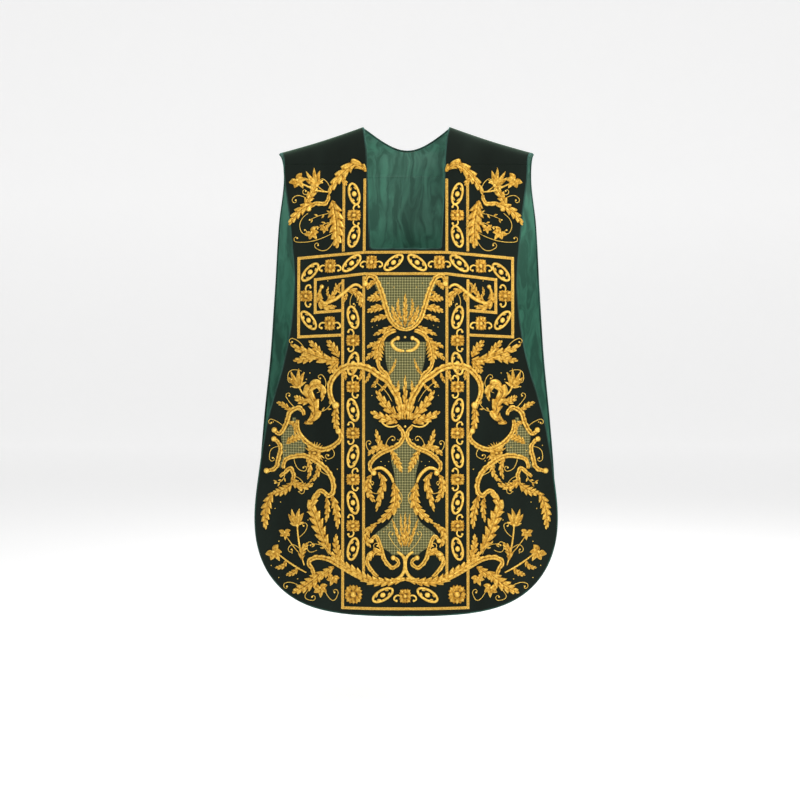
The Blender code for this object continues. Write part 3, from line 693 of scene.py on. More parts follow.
def draw_leaf(relief, width, lobes, points, painted_shading=0.78):
    """A solid acanthus leaf, its edges cut into lobes whose points lean towards its tip."""
    path = curve_through(points, 0.0011)
    t = np.linspace(0, 1, len(path))
    body = np.maximum(np.sin(np.pi * t ** 0.70) ** 0.6, 0.04)
    peak = (0.0014 + 0.09 * width) * (0.45 + 0.55 * body)
    heights = raised(LEAF_HEIGHTS, peak)
    # Painted shading from the leaf's profile row, lighter towards its tip.
    shade = painted_shading * np.tile(LEAF_PAINTED_SHADING, (len(path), 1)) * (0.80 + 0.25 * t)[:, None]
    halves = []
    for start, columns in ((0.30, LEAF_SIDES < 0), (0.75, LEAF_SIDES > 0)):
        phase = ((lobes + 1) * t + start) % 1.0
        lobe = 0.52 + 0.48 * np.minimum(phase / 0.76, (1.0 - phase) / 0.24) ** 0.8
        halves.append(0.50 * width * body * lobe)
        # The crease between two lobes is sunk and also painted with shade.
        crease = 1.0 - np.clip(4.0 * np.minimum(phase + 0.03, 1.03 - phase), 0.0, 1.0)
        cut = LEAF_CREASE[columns] * crease[:, None]
        shade[:, columns] *= 1.0 - cut
        heights[:, columns] -= np.maximum(heights[:, columns], 0.0) * 0.5 * cut
    relief.strip(path, *halves, LEAF_SIDES, heights, shade, 0.62)


def draw_dome(relief, centre, wide, long, turn, height, painted_shading, petals=0, depth=0.0, square=2.0):
    """A raised boss, round, oval or squarish, plain or petalled, turned by an angle."""
    segments = max(10, 4 * petals)
    angle = np.arange(segments) * 2 * math.pi / segments
    c, s = np.cos(angle), np.sin(angle)
    rim = (np.abs(c) ** square + np.abs(s) ** square) ** (-1 / square)
    rim = rim * (1.0 - depth * (0.5 - 0.5 * np.cos(petals * angle)))
    # Rings of size, height and painted shading: painted highlight on top, painted shade at the sunk
    # rim.
    rings = ((0.45, 0.92, 1.0), (0.82, 0.60, 0.8), (1.0, 0.0, 0.1))
    if petals:
        rings = ((0.20, 1.15, 0.9), (0.32, 0.62, 0.1), (0.66, 1.0, 0.8), (0.90, 0.75, 0.9),
                 (1.0, 0.0, 0.0))
    points, painted_shadings = [[0.0, 0.0, (1.30 if petals else 1.0) * height]], [1.0]
    flute = 0.5 + 0.5 * np.cos(0.5 * petals * angle)
    for size, lift, shade in rings:
        edge = size * (rim if size > 0.4 else 1.0)
        high = np.full(segments, lift * height if lift else SUNK)
        shades = np.full(segments, shade)
        # Fluting: lower between its ridges and painted with shade there.
        if petals and 0.4 < size < 1.0:
            high, shades = high * (0.72 + 0.28 * flute), shades * (0.45 + 0.55 * flute)
        points += np.stack([wide * edge * c, long * edge * s, high], axis=1).tolist()
        painted_shadings += shades.tolist()
    points = np.array(points)
    turned = points.copy()
    turned[:, 0] = centre[0] + points[:, 0] * math.cos(turn) - points[:, 1] * math.sin(turn)
    turned[:, 1] = centre[1] + points[:, 0] * math.sin(turn) + points[:, 1] * math.cos(turn)
    faces = [(0, 1 + i, 1 + (i + 1) % segments) for i in range(segments)]
    for r in range(len(rings) - 1):
        a, b = 1 + r * segments, 1 + (r + 1) * segments
        for i in range(segments):
            n = (i + 1) % segments
            faces.append((a + i, b + i, b + n, a + n))
    faces.append(tuple(1 + (len(rings) - 1) * segments + i for i in range(segments)))
    relief.add(turned, points[:, :2], painted_shading * np.array(painted_shadings), faces)


def fan(relief, centre, size, width, angles, painted_shading):
    """Pointed leaflets thrown out from one place at these angles, in degrees."""
    for angle in angles:
        way = np.array((math.cos(math.radians(angle)), math.sin(math.radians(angle))))
        end = np.array(centre) + way * size
        middle = np.array(centre) + way * size * 0.5 + 0.05 * size * sideways(way)
        draw_blade(relief, width, (np.array(centre), middle, end), painted_shading)


def draw_flower(relief, size, centre):
    """A vine leaf: five pointed fingers about a bead."""
    heading = 60.0 + 11.0 * (int(centre[1] * 1000) % 7)
    steps = np.linspace(-108, 108, 5)
    fan(relief, centre, 0.62 * size, 0.50 * size, heading + steps, 0.55)
    fan(relief, centre, 0.78 * size, 0.40 * size, (heading,), 0.75)
    draw_dome(relief, centre, size / 9, size / 9, 0.0, 0.0036, 0.95)


def draw_tulip(relief, size, points):
    """A flower head: petals that open towards its tip, on a cup of two sepals."""
    base, tip = np.array(points[0]), np.array(points[-1])
    way = tip - base
    heading = math.degrees(math.atan2(way[1], way[0]))
    long = np.linalg.norm(way)
    fan(relief, base, 0.86 * long, 0.55 * size, (heading - 34, heading + 34), 0.50)
    fan(relief, base, 1.02 * long, 0.50 * size, (heading - 14, heading + 14), 0.62)
    fan(relief, base, 0.48 * long, 0.30 * size, (heading - 70, heading + 70), 0.85)
    draw_dome(relief, base, size / 5, size / 5, 0.0, 0.0034, 0.8)


def draw_spray(relief, leaflet, count, points):
    """A thin stem with leaflets set along both its sides."""
    draw_stem(relief, 0.0024, 1, points, painted_shading=0.9)
    path = curve_through(points, 0.002)
    tangent, _ = directions(path)
    for i in range(count):
        k = int((i + 0.7) / count * (len(path) - 1))
        side = (1 if i % 2 else -1) * sideways(tangent[k])
        way = tangent[k] * 0.75 + side * 0.75
        middle = path[k] + way * leaflet * 0.5 - tangent[k] * leaflet * 0.12
        draw_blade(relief, leaflet * 0.48, (path[k], middle, path[k] + way * leaflet), 0.75)


def draw_burst(relief, size, rays, centre):
    """Rays of thread thrown out above and below a ribbed boss."""
    spread = np.linspace(-62, 62, rays)
    for heading in (-90.0, 90.0):
        fan(relief, centre, size * 1.15, size * 0.22, heading + spread, 0.62)
        fan(relief, centre, size * 0.85, size * 0.26, heading + 0.8 * spread + 6, 0.85)
    draw_dome(relief, centre, size * 0.70, size * 0.42, 0.0, 0.0042, 0.7, 10, 0.12, 3.0)


def draw_design(design):
    """All the work of one design table, on one half of the panel and turned over."""
    half, middle = Relief(), Relief()
    for kind, size, count, points in design:
        size *= MM
        points = [(a * CM, d * CM) for a, d in points]
        relief = middle if all(a == 0.0 for a, _ in points) else half
        if kind == "leaf":
            draw_leaf(relief, size, count, points)
        elif kind == "stem":
            draw_stem(relief, size, count, points)
        elif kind == "curl":
            draw_curl(relief, size, count, points)
        elif kind == "tulip":
            draw_tulip(relief, size, points)
        elif kind == "spray":
            draw_spray(relief, size, count, points)
        elif kind == "flower":
            draw_flower(relief, size, points[0])
        elif kind == "burst":
            draw_burst(relief, size, count, points[0])
        else:
            for place in points:
                draw_dome(relief, place, size / 2, size / 2, 0.0, 0.0018, 0.95)
    half.join(half.mirror())
    half.join(middle)
    return half


def draw_link(relief):
    """An oval link with a bead in its middle and four small leaves on its inner edge."""
    angle = np.linspace(0, 2 * math.pi, 33)
    flat = np.stack([0.0108 * np.cos(angle), 0.0242 * np.sin(angle)], axis=1)
    half = np.full(len(angle), 0.0032)
    heights = raised(STEM_HEIGHTS, np.full(len(angle), 0.0025))
    relief.strip(flat, half, half, STEM_SIDES, heights, 0.76 * STEM_PAINTED_SHADING, closed=True)
    draw_dome(relief, (0.0, 0.0), 0.0060, 0.0070, 0.0, 0.0034, 0.95)
    for end in (-1, 1):
        for hand in (-1, 1):
            root = np.array((hand * 0.0100, end * 0.0090))
            tip = np.array((hand * 0.0022, end * 0.0160))
            draw_blade(relief, 0.0066, (root, (root + tip) / 2, tip), 0.9)


def draw_rosette(relief):
    """A toothed block with a hook at each end, both hooks curling to the same side."""
    draw_dome(relief, (0.0, 0.0), 0.0168, 0.0138, 0.0, 0.0026, 0.62, 16, 0.14, 4.5)
    draw_dome(relief, (0.0, 0.0), 0.0032, 0.0032, 0.0, 0.0042, 0.95)
    for end in (-1, 1):
        hook = [(x * MM, end * y * MM) for x, y in HOOK]
        draw_stem(relief, 0.0047, 1, hook, painted_shading=0.9)


def draw_great_rosette(relief):
    """A large round toothed rosette for a corner."""
    draw_dome(relief, (0.0, 0.0), 0.0215, 0.0225, 0.0, 0.0030, 0.62, 16, 0.16, 2.6)
    draw_dome(relief, (0.0, 0.0), 0.0040, 0.0040, 0.0, 0.0048, 0.95)


class Nodes:
    """Adds nodes to one tree and links them."""

    def __init__(self, tree):
        self.tree = tree

    def add(self, kind, inputs=None, **settings):
        node = self.tree.nodes.new(kind)
        for name, value in settings.items():
            setattr(node, name, value)
        for name, value in (inputs or {}).items():
            if isinstance(value, bpy.types.NodeSocket):
                self.tree.links.new(value, node.inputs[name])
            else:
                node.inputs[name].default_value = value
        return node

    def math(self, operation, *values, clamp=False):
        """A Math node's result; values are numbers or sockets."""
        inputs = dict(enumerate(values))
        return self.add("ShaderNodeMath", inputs, operation=operation, use_clamp=clamp).outputs[0]

    def mix(self, factor, first, second):
        """A colour between two colours."""
        inputs = {0: factor, 6: first, 7: second}
        return self.add("ShaderNodeMix", inputs, data_type="RGBA").outputs[2]

    def vector_math(self, operation, *values):
        inputs = dict(enumerate(values))
        return self.add("ShaderNodeVectorMath", inputs, operation=operation).outputs[0]


def new_group(name, kind, sockets):
    """A node group with named sockets: (way, name, type, default) for each."""
    tree = bpy.data.node_groups.new(name, kind)
    for way, socket_name, socket_type, default in sockets:
        socket = tree.interface.new_socket(socket_name, in_out=way, socket_type=socket_type)
        if default is not None:
            socket.default_value = default
    nodes = Nodes(tree)
    return tree, nodes, nodes.add("NodeGroupInput").outputs, nodes.add("NodeGroupOutput").inputs


def object_noise(nodes, scale, detail=2.0, stretch=(1.0, 1.0, 1.0)):
    """Noise over the object's own coordinates, stretched along an axis where asked."""
    place = nodes.add("ShaderNodeTexCoord").outputs["Object"]
    place = nodes.add("ShaderNodeMapping", {"Vector": place, "Scale": stretch}).outputs[0]
    noise = nodes.add("ShaderNodeTexNoise", {"Vector": place, "Scale": scale, "Detail": detail})
    return noise.outputs[0]


def thread_group():
    """Metal thread laid across a padded shape: painted shade in its folds, painted highlight where
    it turns.
    """
    tree, nodes, given, out = new_group("Laid metal thread", "ShaderNodeTree", (
        ("INPUT", "Fold Shade", "NodeSocketColor", (0.1, 0.03, 0.0, 1.0)),
        ("INPUT", "Deep", "NodeSocketColor", (0.3, 0.1, 0.01, 1.0)),
        ("INPUT", "Light", "NodeSocketColor", (0.8, 0.5, 0.1, 1.0)),
        ("INPUT", "Stitch", "NodeSocketFloat", 0.0013),
        ("OUTPUT", "Colour", "NodeSocketColor", None),
        ("OUTPUT", "Roughness", "NodeSocketFloat", None),
        ("OUTPUT", "Height", "NodeSocketFloat", None),
    ))
    lay = nodes.add("ShaderNodeUVMap", uv_map="thread").outputs[0]
    lay = nodes.add("ShaderNodeSeparateXYZ", {0: lay}).outputs
    slant = nodes.math("MULTIPLY_ADD", nodes.math("ABSOLUTE", lay[1]), 0.7, lay[0])
    turns = nodes.math("DIVIDE", slant, given["Stitch"])
    stitch = nodes.math("SINE", nodes.math("MULTIPLY", turns, 2 * math.pi))
    stitch = nodes.math("MULTIPLY_ADD", stitch, 0.5, 0.5)
    # The point attribute read here is painted shading: painted shade in folds and at sunk edges,
    # painted highlight on crests. Each stitch is also painted lighter across its crest.
    painted_shading = nodes.add("ShaderNodeAttribute", attribute_name="painted_shading").outputs["Fac"]
    patch = object_noise(nodes, 210.0, 3.0)
    patch = nodes.add("ShaderNodeMapRange", {0: patch, 1: 0.32, 2: 0.68}).outputs[0]
    shade = nodes.math("MULTIPLY_ADD", patch, 0.42, nodes.math("SUBTRACT", painted_shading, 0.26))
    shade = nodes.math("MULTIPLY_ADD", stitch, 0.16, shade)
    # Low shading mixes towards the painted fold shade, high shading towards the painted highlight.
    fold_shade_share = nodes.add("ShaderNodeMapRange", {0: shade, 1: -0.02, 2: 0.30}).outputs[0]
    light = nodes.add("ShaderNodeMapRange", {0: shade, 1: 0.30, 2: 0.95}).outputs[0]
    colour = nodes.mix(light, nodes.mix(fold_shade_share, given["Fold Shade"], given["Deep"]), given["Light"])
    nodes.tree.links.new(colour, out["Colour"])
    rough = nodes.math("MULTIPLY_ADD", patch, -0.14, 0.46)
    nodes.tree.links.new(rough, out["Roughness"])
    nodes.tree.links.new(nodes.math("MULTIPLY_ADD", patch, 0.5, stitch), out["Height"])
    return tree


def pile_group():
    """Cut pile: brushed patches that lean one way or another, over fine pile grain."""
    tree, nodes, given, out = new_group("Cut pile", "ShaderNodeTree", (
        ("INPUT", "Base", "NodeSocketColor", (0.01, 0.02, 0.01, 1.0)),
        ("INPUT", "Brushed", "NodeSocketColor", (0.02, 0.05, 0.03, 1.0)),
        ("INPUT", "Patch Scale", "NodeSocketFloat", 9.0),
        ("OUTPUT", "Colour", "NodeSocketColor", None),
        ("OUTPUT", "Roughness", "NodeSocketFloat", None),
        ("OUTPUT", "Height", "NodeSocketFloat", None),
    ))
    place = nodes.add("ShaderNodeTexCoord").outputs["Object"]
    place = nodes.add("ShaderNodeMapping", {"Vector": place, "Scale": (1.0, 1.0, 0.35)}).outputs[0]
    inputs = {"Vector": place, "Scale": given["Patch Scale"], "Detail": 4.0}
    patch = nodes.add("ShaderNodeTexNoise", inputs).outputs[0]
    patch = nodes.add("ShaderNodeMapRange", {0: patch, 1: 0.35, 2: 0.70}).outputs[0]
    grain = object_noise(nodes, 900.0, 2.0)
    share = nodes.math("MULTIPLY_ADD", grain, 0.35, nodes.math("MULTIPLY", patch, 0.75), clamp=True)
    nodes.tree.links.new(nodes.mix(share, given["Base"], given["Brushed"]), out["Colour"])
    nodes.tree.links.new(nodes.math("MULTIPLY_ADD", patch, -0.12, 0.95), out["Roughness"])
    nodes.tree.links.new(nodes.math("MULTIPLY_ADD", patch, 2.0, grain), out["Height"])
    return tree


def weave_group():
    """A plain weave of warp and weft, with slubs."""
    tree, nodes, given, out = new_group("Plain weave", "ShaderNodeTree", (
        ("INPUT", "Base", "NodeSocketColor", (0.4, 0.4, 0.3, 1.0)),
        ("INPUT", "Slub", "NodeSocketColor", (0.5, 0.5, 0.4, 1.0)),
        ("INPUT", "Yarn", "NodeSocketFloat", 0.001),
        ("OUTPUT", "Colour", "NodeSocketColor", None),
        ("OUTPUT", "Height", "NodeSocketFloat", None),
    ))
    place = nodes.add("ShaderNodeTexCoord").outputs["Object"]
    place = nodes.add("ShaderNodeSeparateXYZ", {0: place}).outputs
    turn = nodes.math("DIVIDE", 2 * math.pi, given["Yarn"])
    warp = nodes.math("SINE", nodes.math("MULTIPLY", place[0], turn))
    run = nodes.math("ADD", place[1], place[2])
    weft = nodes.math("SINE", nodes.math("MULTIPLY", run, turn))
    height = nodes.math("MULTIPLY_ADD", nodes.math("MULTIPLY", warp, weft), 0.5, 0.5)
    slub = object_noise(nodes, 140.0, 3.0, (1.0, 1.0, 0.2))
    share = nodes.math("MULTIPLY_ADD", height, 0.4, nodes.math("MULTIPLY", slub, 0.6), clamp=True)
    nodes.tree.links.new(nodes.mix(share, given["Base"], given["Slub"]), out["Colour"])
    nodes.tree.links.new(height, out["Height"])
    return tree


def group_named(name, maker):
    return bpy.data.node_groups.get(name) or maker()


class Finish:
    """One material: a Principled shader whose constants sit on its own sockets."""

    def __init__(self, name, **constants):
        self.material = bpy.data.materials.new(name)
        self.material.use_nodes = True
        self.nodes = Nodes(self.material.node_tree)
        self.shader = self.material.node_tree.nodes["Principled BSDF"]
        for socket, value in constants.items():
            self.shader.inputs[socket.replace("_", " ")].default_value = value

    def link(self, output, socket):
        self.nodes.tree.links.new(output, self.shader.inputs[socket])

    def group(self, tree, inputs):
        node = self.nodes.add("ShaderNodeGroup", node_tree=tree)
        for name, value in inputs.items():
            node.inputs[name].default_value = value
        return node.outputs

    def bump(self, height, distance, strength=1.0):
        inputs = {"Height": height, "Distance": distance, "Strength": strength}
        self.link(self.nodes.add("ShaderNodeBump", inputs).outputs[0], "Normal")


def opaque(colour):
    return (*colour, 1.0)


def velvet_finish():
    colours = bpy.context.scene.chasuble_colours
    finish = Finish("green_velvet", Specular_IOR_Level=0.20, Sheen_Weight=0.22,
                    Sheen_Roughness=0.38, Sheen_Tint=(0.40, 0.85, 0.50, 1.0))
    inputs = {"Base": opaque(colours.velvet), "Brushed": opaque(colours.velvet_brushed)}
    pile = finish.group(group_named("Cut pile", pile_group), inputs)
    finish.link(pile["Colour"], "Base Color")
    finish.link(pile["Roughness"], "Roughness")
    finish.bump(pile["Height"], 0.0004, 0.5)
    return finish.material


def edge_finish():
    colours = bpy.context.scene.chasuble_colours
    finish = Finish("edge_cord_velvet", Specular_IOR_Level=0.35, Sheen_Weight=0.45,
                    Sheen_Roughness=0.35, Sheen_Tint=(0.35, 0.85, 0.70, 1.0))
    # The cord's velvet is mottled towards a much lighter teal that paints in the sheen of the
    # velvet turned round the edge.
    inputs = {"Base": opaque(colours.velvet_brushed), "Brushed": opaque(colours.edge)}
    pile = finish.group(group_named("Cut pile", pile_group), {**inputs, "Patch Scale": 40.0})
    finish.link(pile["Colour"], "Base Color")
    finish.link(pile["Roughness"], "Roughness")
    finish.bump(pile["Height"], 0.0003, 0.4)
    return finish.material


def embroidery_finish():
    colours = bpy.context.scene.chasuble_colours
    finish = Finish("gold_thread", Metallic=0.72, Specular_IOR_Level=0.5)
    inputs = {"Fold Shade": opaque(colours.gold_fold_shade), "Deep": opaque(colours.gold_deep),
              "Light": opaque(colours.gold_light)}
    lay = finish.group(group_named("Laid metal thread", thread_group), inputs)
    finish.link(lay["Colour"], "Base Color")
    finish.link(lay["Roughness"], "Roughness")
    finish.bump(lay["Height"], 0.00022, 0.7)
    return finish.material


def braid_finish():
    colours = bpy.context.scene.chasuble_colours
    finish = Finish("gold_braid_thread", Metallic=0.65, Roughness=0.42)
    # Random flecks. The darker gold sits where the same fleck bump is low, so it is partly painted
    # shade.
    fleck = object_noise(finish.nodes, 420.0, 2.0)
    fleck = finish.nodes.add("ShaderNodeMapRange", {0: fleck, 1: 0.3, 2: 0.7}).outputs[0]
    shades = opaque(colours.braid_fleck_shade), opaque(colours.gold_light)
    finish.link(finish.nodes.mix(fleck, *shades), "Base Color")
    finish.bump(fleck, 0.0002, 0.5)
    return finish.material


def lattice_thread_finish():
    colours = bpy.context.scene.chasuble_colours
    finish = Finish("lattice_thread", Metallic=0.45, Roughness=0.5)
    fleck = object_noise(finish.nodes, 300.0, 2.0)
    dim = tuple(0.45 * v for v in colours.lattice_thread)
    finish.link(finish.nodes.mix(fleck, opaque(dim), opaque(colours.lattice_thread)), "Base Color")
    finish.bump(fleck, 0.0002, 0.4)
    return finish.material


def ground_finish():
    colours = bpy.context.scene.chasuble_colours
    finish = Finish("lattice_cloth", Metallic=0.25, Roughness=0.62)
    shades = {"Base": opaque(colours.lattice), "Slub": opaque(colours.lattice_light),
              "Yarn": 0.0016}
    weave = finish.group(group_named("Plain weave", weave_group), shades)
    finish.link(weave["Colour"], "Base Color")
    finish.bump(weave["Height"], 0.0002, 0.6)
    return finish.material


def satin_finish():
    colours = bpy.context.scene.chasuble_colours
    finish = Finish("moire_satin", Specular_IOR_Level=0.45, Sheen_Weight=0.15, Anisotropic=0.35)
    nodes = finish.nodes
    place = nodes.add("ShaderNodeTexCoord").outputs["Object"]
    drift = nodes.add("ShaderNodeTexNoise", {"Vector": place, "Scale": 7.0, "Detail": 3.0})
    drift = nodes.vector_math("SCALE", drift.outputs[1])
    drift.node.inputs["Scale"].default_value = 0.06
    place = nodes.vector_math("ADD", place, drift)
    place = nodes.add("ShaderNodeMapping", {"Vector": place, "Scale": (1.0, 1.0, 0.16)}).outputs[0]
    water = nodes.add("ShaderNodeTexNoise", {"Vector": place, "Scale": 42.0, "Detail": 4.0,
                                             "Distortion": 1.2}).outputs[0]
    water = nodes.add("ShaderNodeMapRange", {0: water, 1: 0.40, 2: 0.62}).outputs[0]
    shades = opaque(colours.satin), opaque(colours.satin_light)
    finish.link(nodes.mix(water, *shades), "Base Color")
    finish.link(nodes.math("MULTIPLY_ADD", water, -0.16, 0.50), "Roughness")
    finish.bump(water, 0.0003, 0.35)
    return finish.material


def canvas_finish():
    colours = bpy.context.scene.chasuble_colours
    finish = Finish("stiff_canvas", Roughness=0.92)
    light = tuple(min(1.0, 1.25 * v) for v in colours.canvas)
    shades = {"Base": opaque(colours.canvas), "Slub": opaque(light), "Yarn": 0.0012}
    weave = finish.group(group_named("Plain weave", weave_group), shades)
    finish.link(weave["Colour"], "Base Color")
    finish.bump(weave["Height"], 0.0002, 0.6)
    return finish.material


def stage_finish():
    colours = bpy.context.scene.chasuble_colours
    finish = Finish("pale_stage", Roughness=0.9, Specular_IOR_Level=0.1, Emission_Strength=0.26)
    tint = object_noise(finish.nodes, 3.0, 2.0)
    shade = tuple(0.985 * v for v in colours.stage)
    finish.link(finish.nodes.mix(tint, opaque(colours.stage), opaque(shade)), "Base Color")
    return finish.material


FINISHES = {
    "green_velvet": velvet_finish,
    "edge_cord_velvet": edge_finish,
    "gold_thread": embroidery_finish,
    "gold_braid_thread": braid_finish,
    "lattice_thread": lattice_thread_finish,
    "lattice_cloth": ground_finish,
    "moire_satin": satin_finish,
    "stiff_canvas": canvas_finish,
    "pale_stage": stage_finish,
}


def finish_named(name):
    """The material of that name, made the first time it is asked for."""
    return bpy.data.materials.get(name) or FINISHES[name]()


def numbers(nodes, *values):
    return nodes.add("ShaderNodeCombineXYZ", dict(enumerate(values))).outputs[0]


def parted(nodes, geometry, part):
    """The points whose part is this one: 0 the cloth, 1 the threads, 2 the knots."""
    label = nodes.add("GeometryNodeInputNamedAttribute", {"Name": "part"}, data_type="INT")
    inputs = {"A": label.outputs[0], "B": part}
    same = nodes.add("FunctionNodeCompare", data_type="INT", operation="EQUAL")
    nodes.tree.links.new(label.outputs[0], same.inputs[2])
    same.inputs[3].default_value = inputs["B"]
    cut = nodes.add("GeometryNodeSeparateGeometry", {0: geometry, 1: same.outputs[0]})
    return cut.outputs[0]


def seed_shape(nodes, long, wide, high):
    """A low seed-shaped lump, smooth shaded."""
    lump = nodes.add("GeometryNodeMeshIcoSphere", {"Radius": 0.5, "Subdivisions": 1}).outputs[0]
    size = numbers(nodes, long, wide, high)
    lump = nodes.add("GeometryNodeTransform", {"Geometry": lump, "Scale": size}).outputs[0]
    return nodes.add("GeometryNodeSetShadeSmooth", {0: lump}).outputs[0]


def finish_tree(nodes, parts, material, out):
    """Joins parts, realizes their instances and gives them one material."""
    join = nodes.add("GeometryNodeJoinGeometry")
    for part in parts:
        nodes.tree.links.new(part, join.inputs[0])
    whole = nodes.add("GeometryNodeRealizeInstances", {0: join.outputs[0]}).outputs[0]
    done = nodes.add("GeometryNodeSetMaterial", {"Geometry": whole, "Material": material})
    nodes.tree.links.new(done.outputs[0], out["Geometry"])


def cord_tree():
    """A round cord along each line of edges."""
    tree, nodes, given, out = new_group("Corded edge", "GeometryNodeTree", (
        ("INPUT", "Geometry", "NodeSocketGeometry", None),
        ("INPUT", "Radius", "NodeSocketFloat", 0.0022),
        ("INPUT", "Material", "NodeSocketMaterial", None),
        ("OUTPUT", "Geometry", "NodeSocketGeometry", None),
    ))
    line = nodes.add("GeometryNodeMeshToCurve", {0: given["Geometry"]}).outputs[0]
    ring = nodes.add("GeometryNodeCurvePrimitiveCircle", {"Resolution": 10}).outputs[0]
    ring.node.inputs["Radius"].default_value = 0.0022
    nodes.tree.links.new(given["Radius"], ring.node.inputs["Radius"])
    cord = nodes.add("GeometryNodeCurveToMesh", {"Curve": line, "Profile Curve": ring})
    cord.inputs["Fill Caps"].default_value = True
    smooth = nodes.add("GeometryNodeSetShadeSmooth", {0: cord.outputs[0]}).outputs[0]
    finish_tree(nodes, (smooth,), given["Material"], out)
    return tree


def braid_tree():
    """Two rows of slanted stitches along each thread line, on a flat tape."""
    tree, nodes, given, out = new_group("Plaited braid", "GeometryNodeTree", (
        ("INPUT", "Geometry", "NodeSocketGeometry", None),
        ("INPUT", "Width", "NodeSocketFloat", 0.006),
        ("INPUT", "Pitch", "NodeSocketFloat", 0.0024),
        ("INPUT", "Slant", "NodeSocketFloat", 0.6),
        ("INPUT", "Height", "NodeSocketFloat", 0.0018),
        ("INPUT", "Material", "NodeSocketMaterial", None),
        ("OUTPUT", "Geometry", "NodeSocketGeometry", None),
    ))
    tape = parted(nodes, given["Geometry"], 0)
    lines = parted(nodes, given["Geometry"], 1)
    curve = nodes.add("GeometryNodeMeshToCurve", {0: lines}).outputs[0]
    curve = nodes.add("GeometryNodeResampleCurve", {"Curve": curve}, mode="LENGTH")
    nodes.tree.links.new(given["Pitch"], curve.inputs["Length"])
    points = nodes.add("GeometryNodeCurveToPoints", {0: curve.outputs[0]}, mode="EVALUATED")
    way = points.outputs["Tangent"]
    up = nodes.add("GeometryNodeInputNamedAttribute", {"Name": "out"}, data_type="FLOAT_VECTOR")
    across = nodes.vector_math("CROSS_PRODUCT", up.outputs[0], way)
    across = nodes.vector_math("NORMALIZE", across)
    wide = nodes.math("MULTIPLY", given["Width"], 0.56)
    long = nodes.math("MULTIPLY", given["Pitch"], 1.12)
    stitch = seed_shape(nodes, wide, long, given["Height"])
    rows = [tape]
    for hand in (-1, 1):
        shift = nodes.vector_math("SCALE", across)
        step = nodes.math("MULTIPLY", given["Width"], 0.23 * hand)
        nodes.tree.links.new(step, shift.node.inputs["Scale"])
        row = nodes.add("GeometryNodeSetPosition", {"Geometry": points.outputs[0], "Offset": shift})
        inputs = {"Primary Axis": up.outputs[0], "Secondary Axis": across}
        turn = nodes.add("FunctionNodeAxesToRotation", inputs, primary_axis="Z", secondary_axis="X")
        lean = numbers(nodes, 0.0, 0.0, nodes.math("MULTIPLY", given["Slant"], -hand))
        turn = nodes.add("FunctionNodeRotateRotation", {0: turn.outputs[0], 1: lean})
        turn.rotation_space = "LOCAL"
        inputs = {"Points": row.outputs[0], "Instance": stitch, "Rotation": turn.outputs[0]}
        rows.append(nodes.add("GeometryNodeInstanceOnPoints", inputs).outputs[0])
    finish_tree(nodes, rows, given["Material"], out)
    return tree


def lattice_tree():
    """Threads laid in a square lattice on a cloth, tied down with a knot at each crossing."""
    tree, nodes, given, out = new_group("Couched lattice", "GeometryNodeTree", (
        ("INPUT", "Geometry", "NodeSocketGeometry", None),
        ("INPUT", "Thread", "NodeSocketFloat", 0.001),
        ("INPUT", "Knot", "NodeSocketFloat", 0.0026),
        ("INPUT", "Cloth", "NodeSocketMaterial", None),
        ("INPUT", "Gold", "NodeSocketMaterial", None),
        ("OUTPUT", "Geometry", "NodeSocketGeometry", None),
    ))
    cloth = parted(nodes, given["Geometry"], 0)
    cloth = nodes.add("GeometryNodeSetMaterial", {"Geometry": cloth, "Material": given["Cloth"]})
    lines = nodes.add("GeometryNodeMeshToCurve", {0: parted(nodes, given["Geometry"], 1)})
    ring = nodes.add("GeometryNodeCurvePrimitiveCircle", {"Resolution": 5})
    nodes.tree.links.new(nodes.math("MULTIPLY", given["Thread"], 0.5), ring.inputs["Radius"])
    inputs = {"Curve": lines.outputs[0], "Profile Curve": ring.outputs[0]}
    threads = nodes.add("GeometryNodeCurveToMesh", inputs)
    threads.inputs["Fill Caps"].default_value = True
    threads = nodes.add("GeometryNodeSetShadeSmooth", {0: threads.outputs[0]}).outputs[0]
    ties = nodes.add("GeometryNodeMeshToPoints", {0: parted(nodes, given["Geometry"], 2)})
    up = nodes.add("GeometryNodeInputNamedAttribute", {"Name": "out"}, data_type="FLOAT_VECTOR")
    inputs = {"Primary Axis": up.outputs[0], "Secondary Axis": (1.0, 0.0, 0.0)}
    turn = nodes.add("FunctionNodeAxesToRotation", inputs, primary_axis="Z", secondary_axis="X")
    high = nodes.math("MULTIPLY", given["Knot"], 0.6)
    knot = seed_shape(nodes, given["Knot"], nodes.math("MULTIPLY", given["Knot"], 0.62), high)
    inputs = {"Points": ties.outputs[0], "Instance": knot, "Rotation": turn.outputs[0]}
    knots = nodes.add("GeometryNodeInstanceOnPoints", inputs).outputs[0]
    gold = nodes.add("GeometryNodeJoinGeometry")
    for part in (threads, knots):
        nodes.tree.links.new(part, gold.inputs[0])
    gold = nodes.add("GeometryNodeRealizeInstances", {0: gold.outputs[0]}).outputs[0]
    gold = nodes.add("GeometryNodeSetMaterial", {"Geometry": gold, "Material": given["Gold"]})
    join = nodes.add("GeometryNodeJoinGeometry")
    for part in (cloth.outputs[0], gold.outputs[0]):
        nodes.tree.links.new(part, join.inputs[0])
    nodes.tree.links.new(join.outputs[0], out["Geometry"])
    return tree


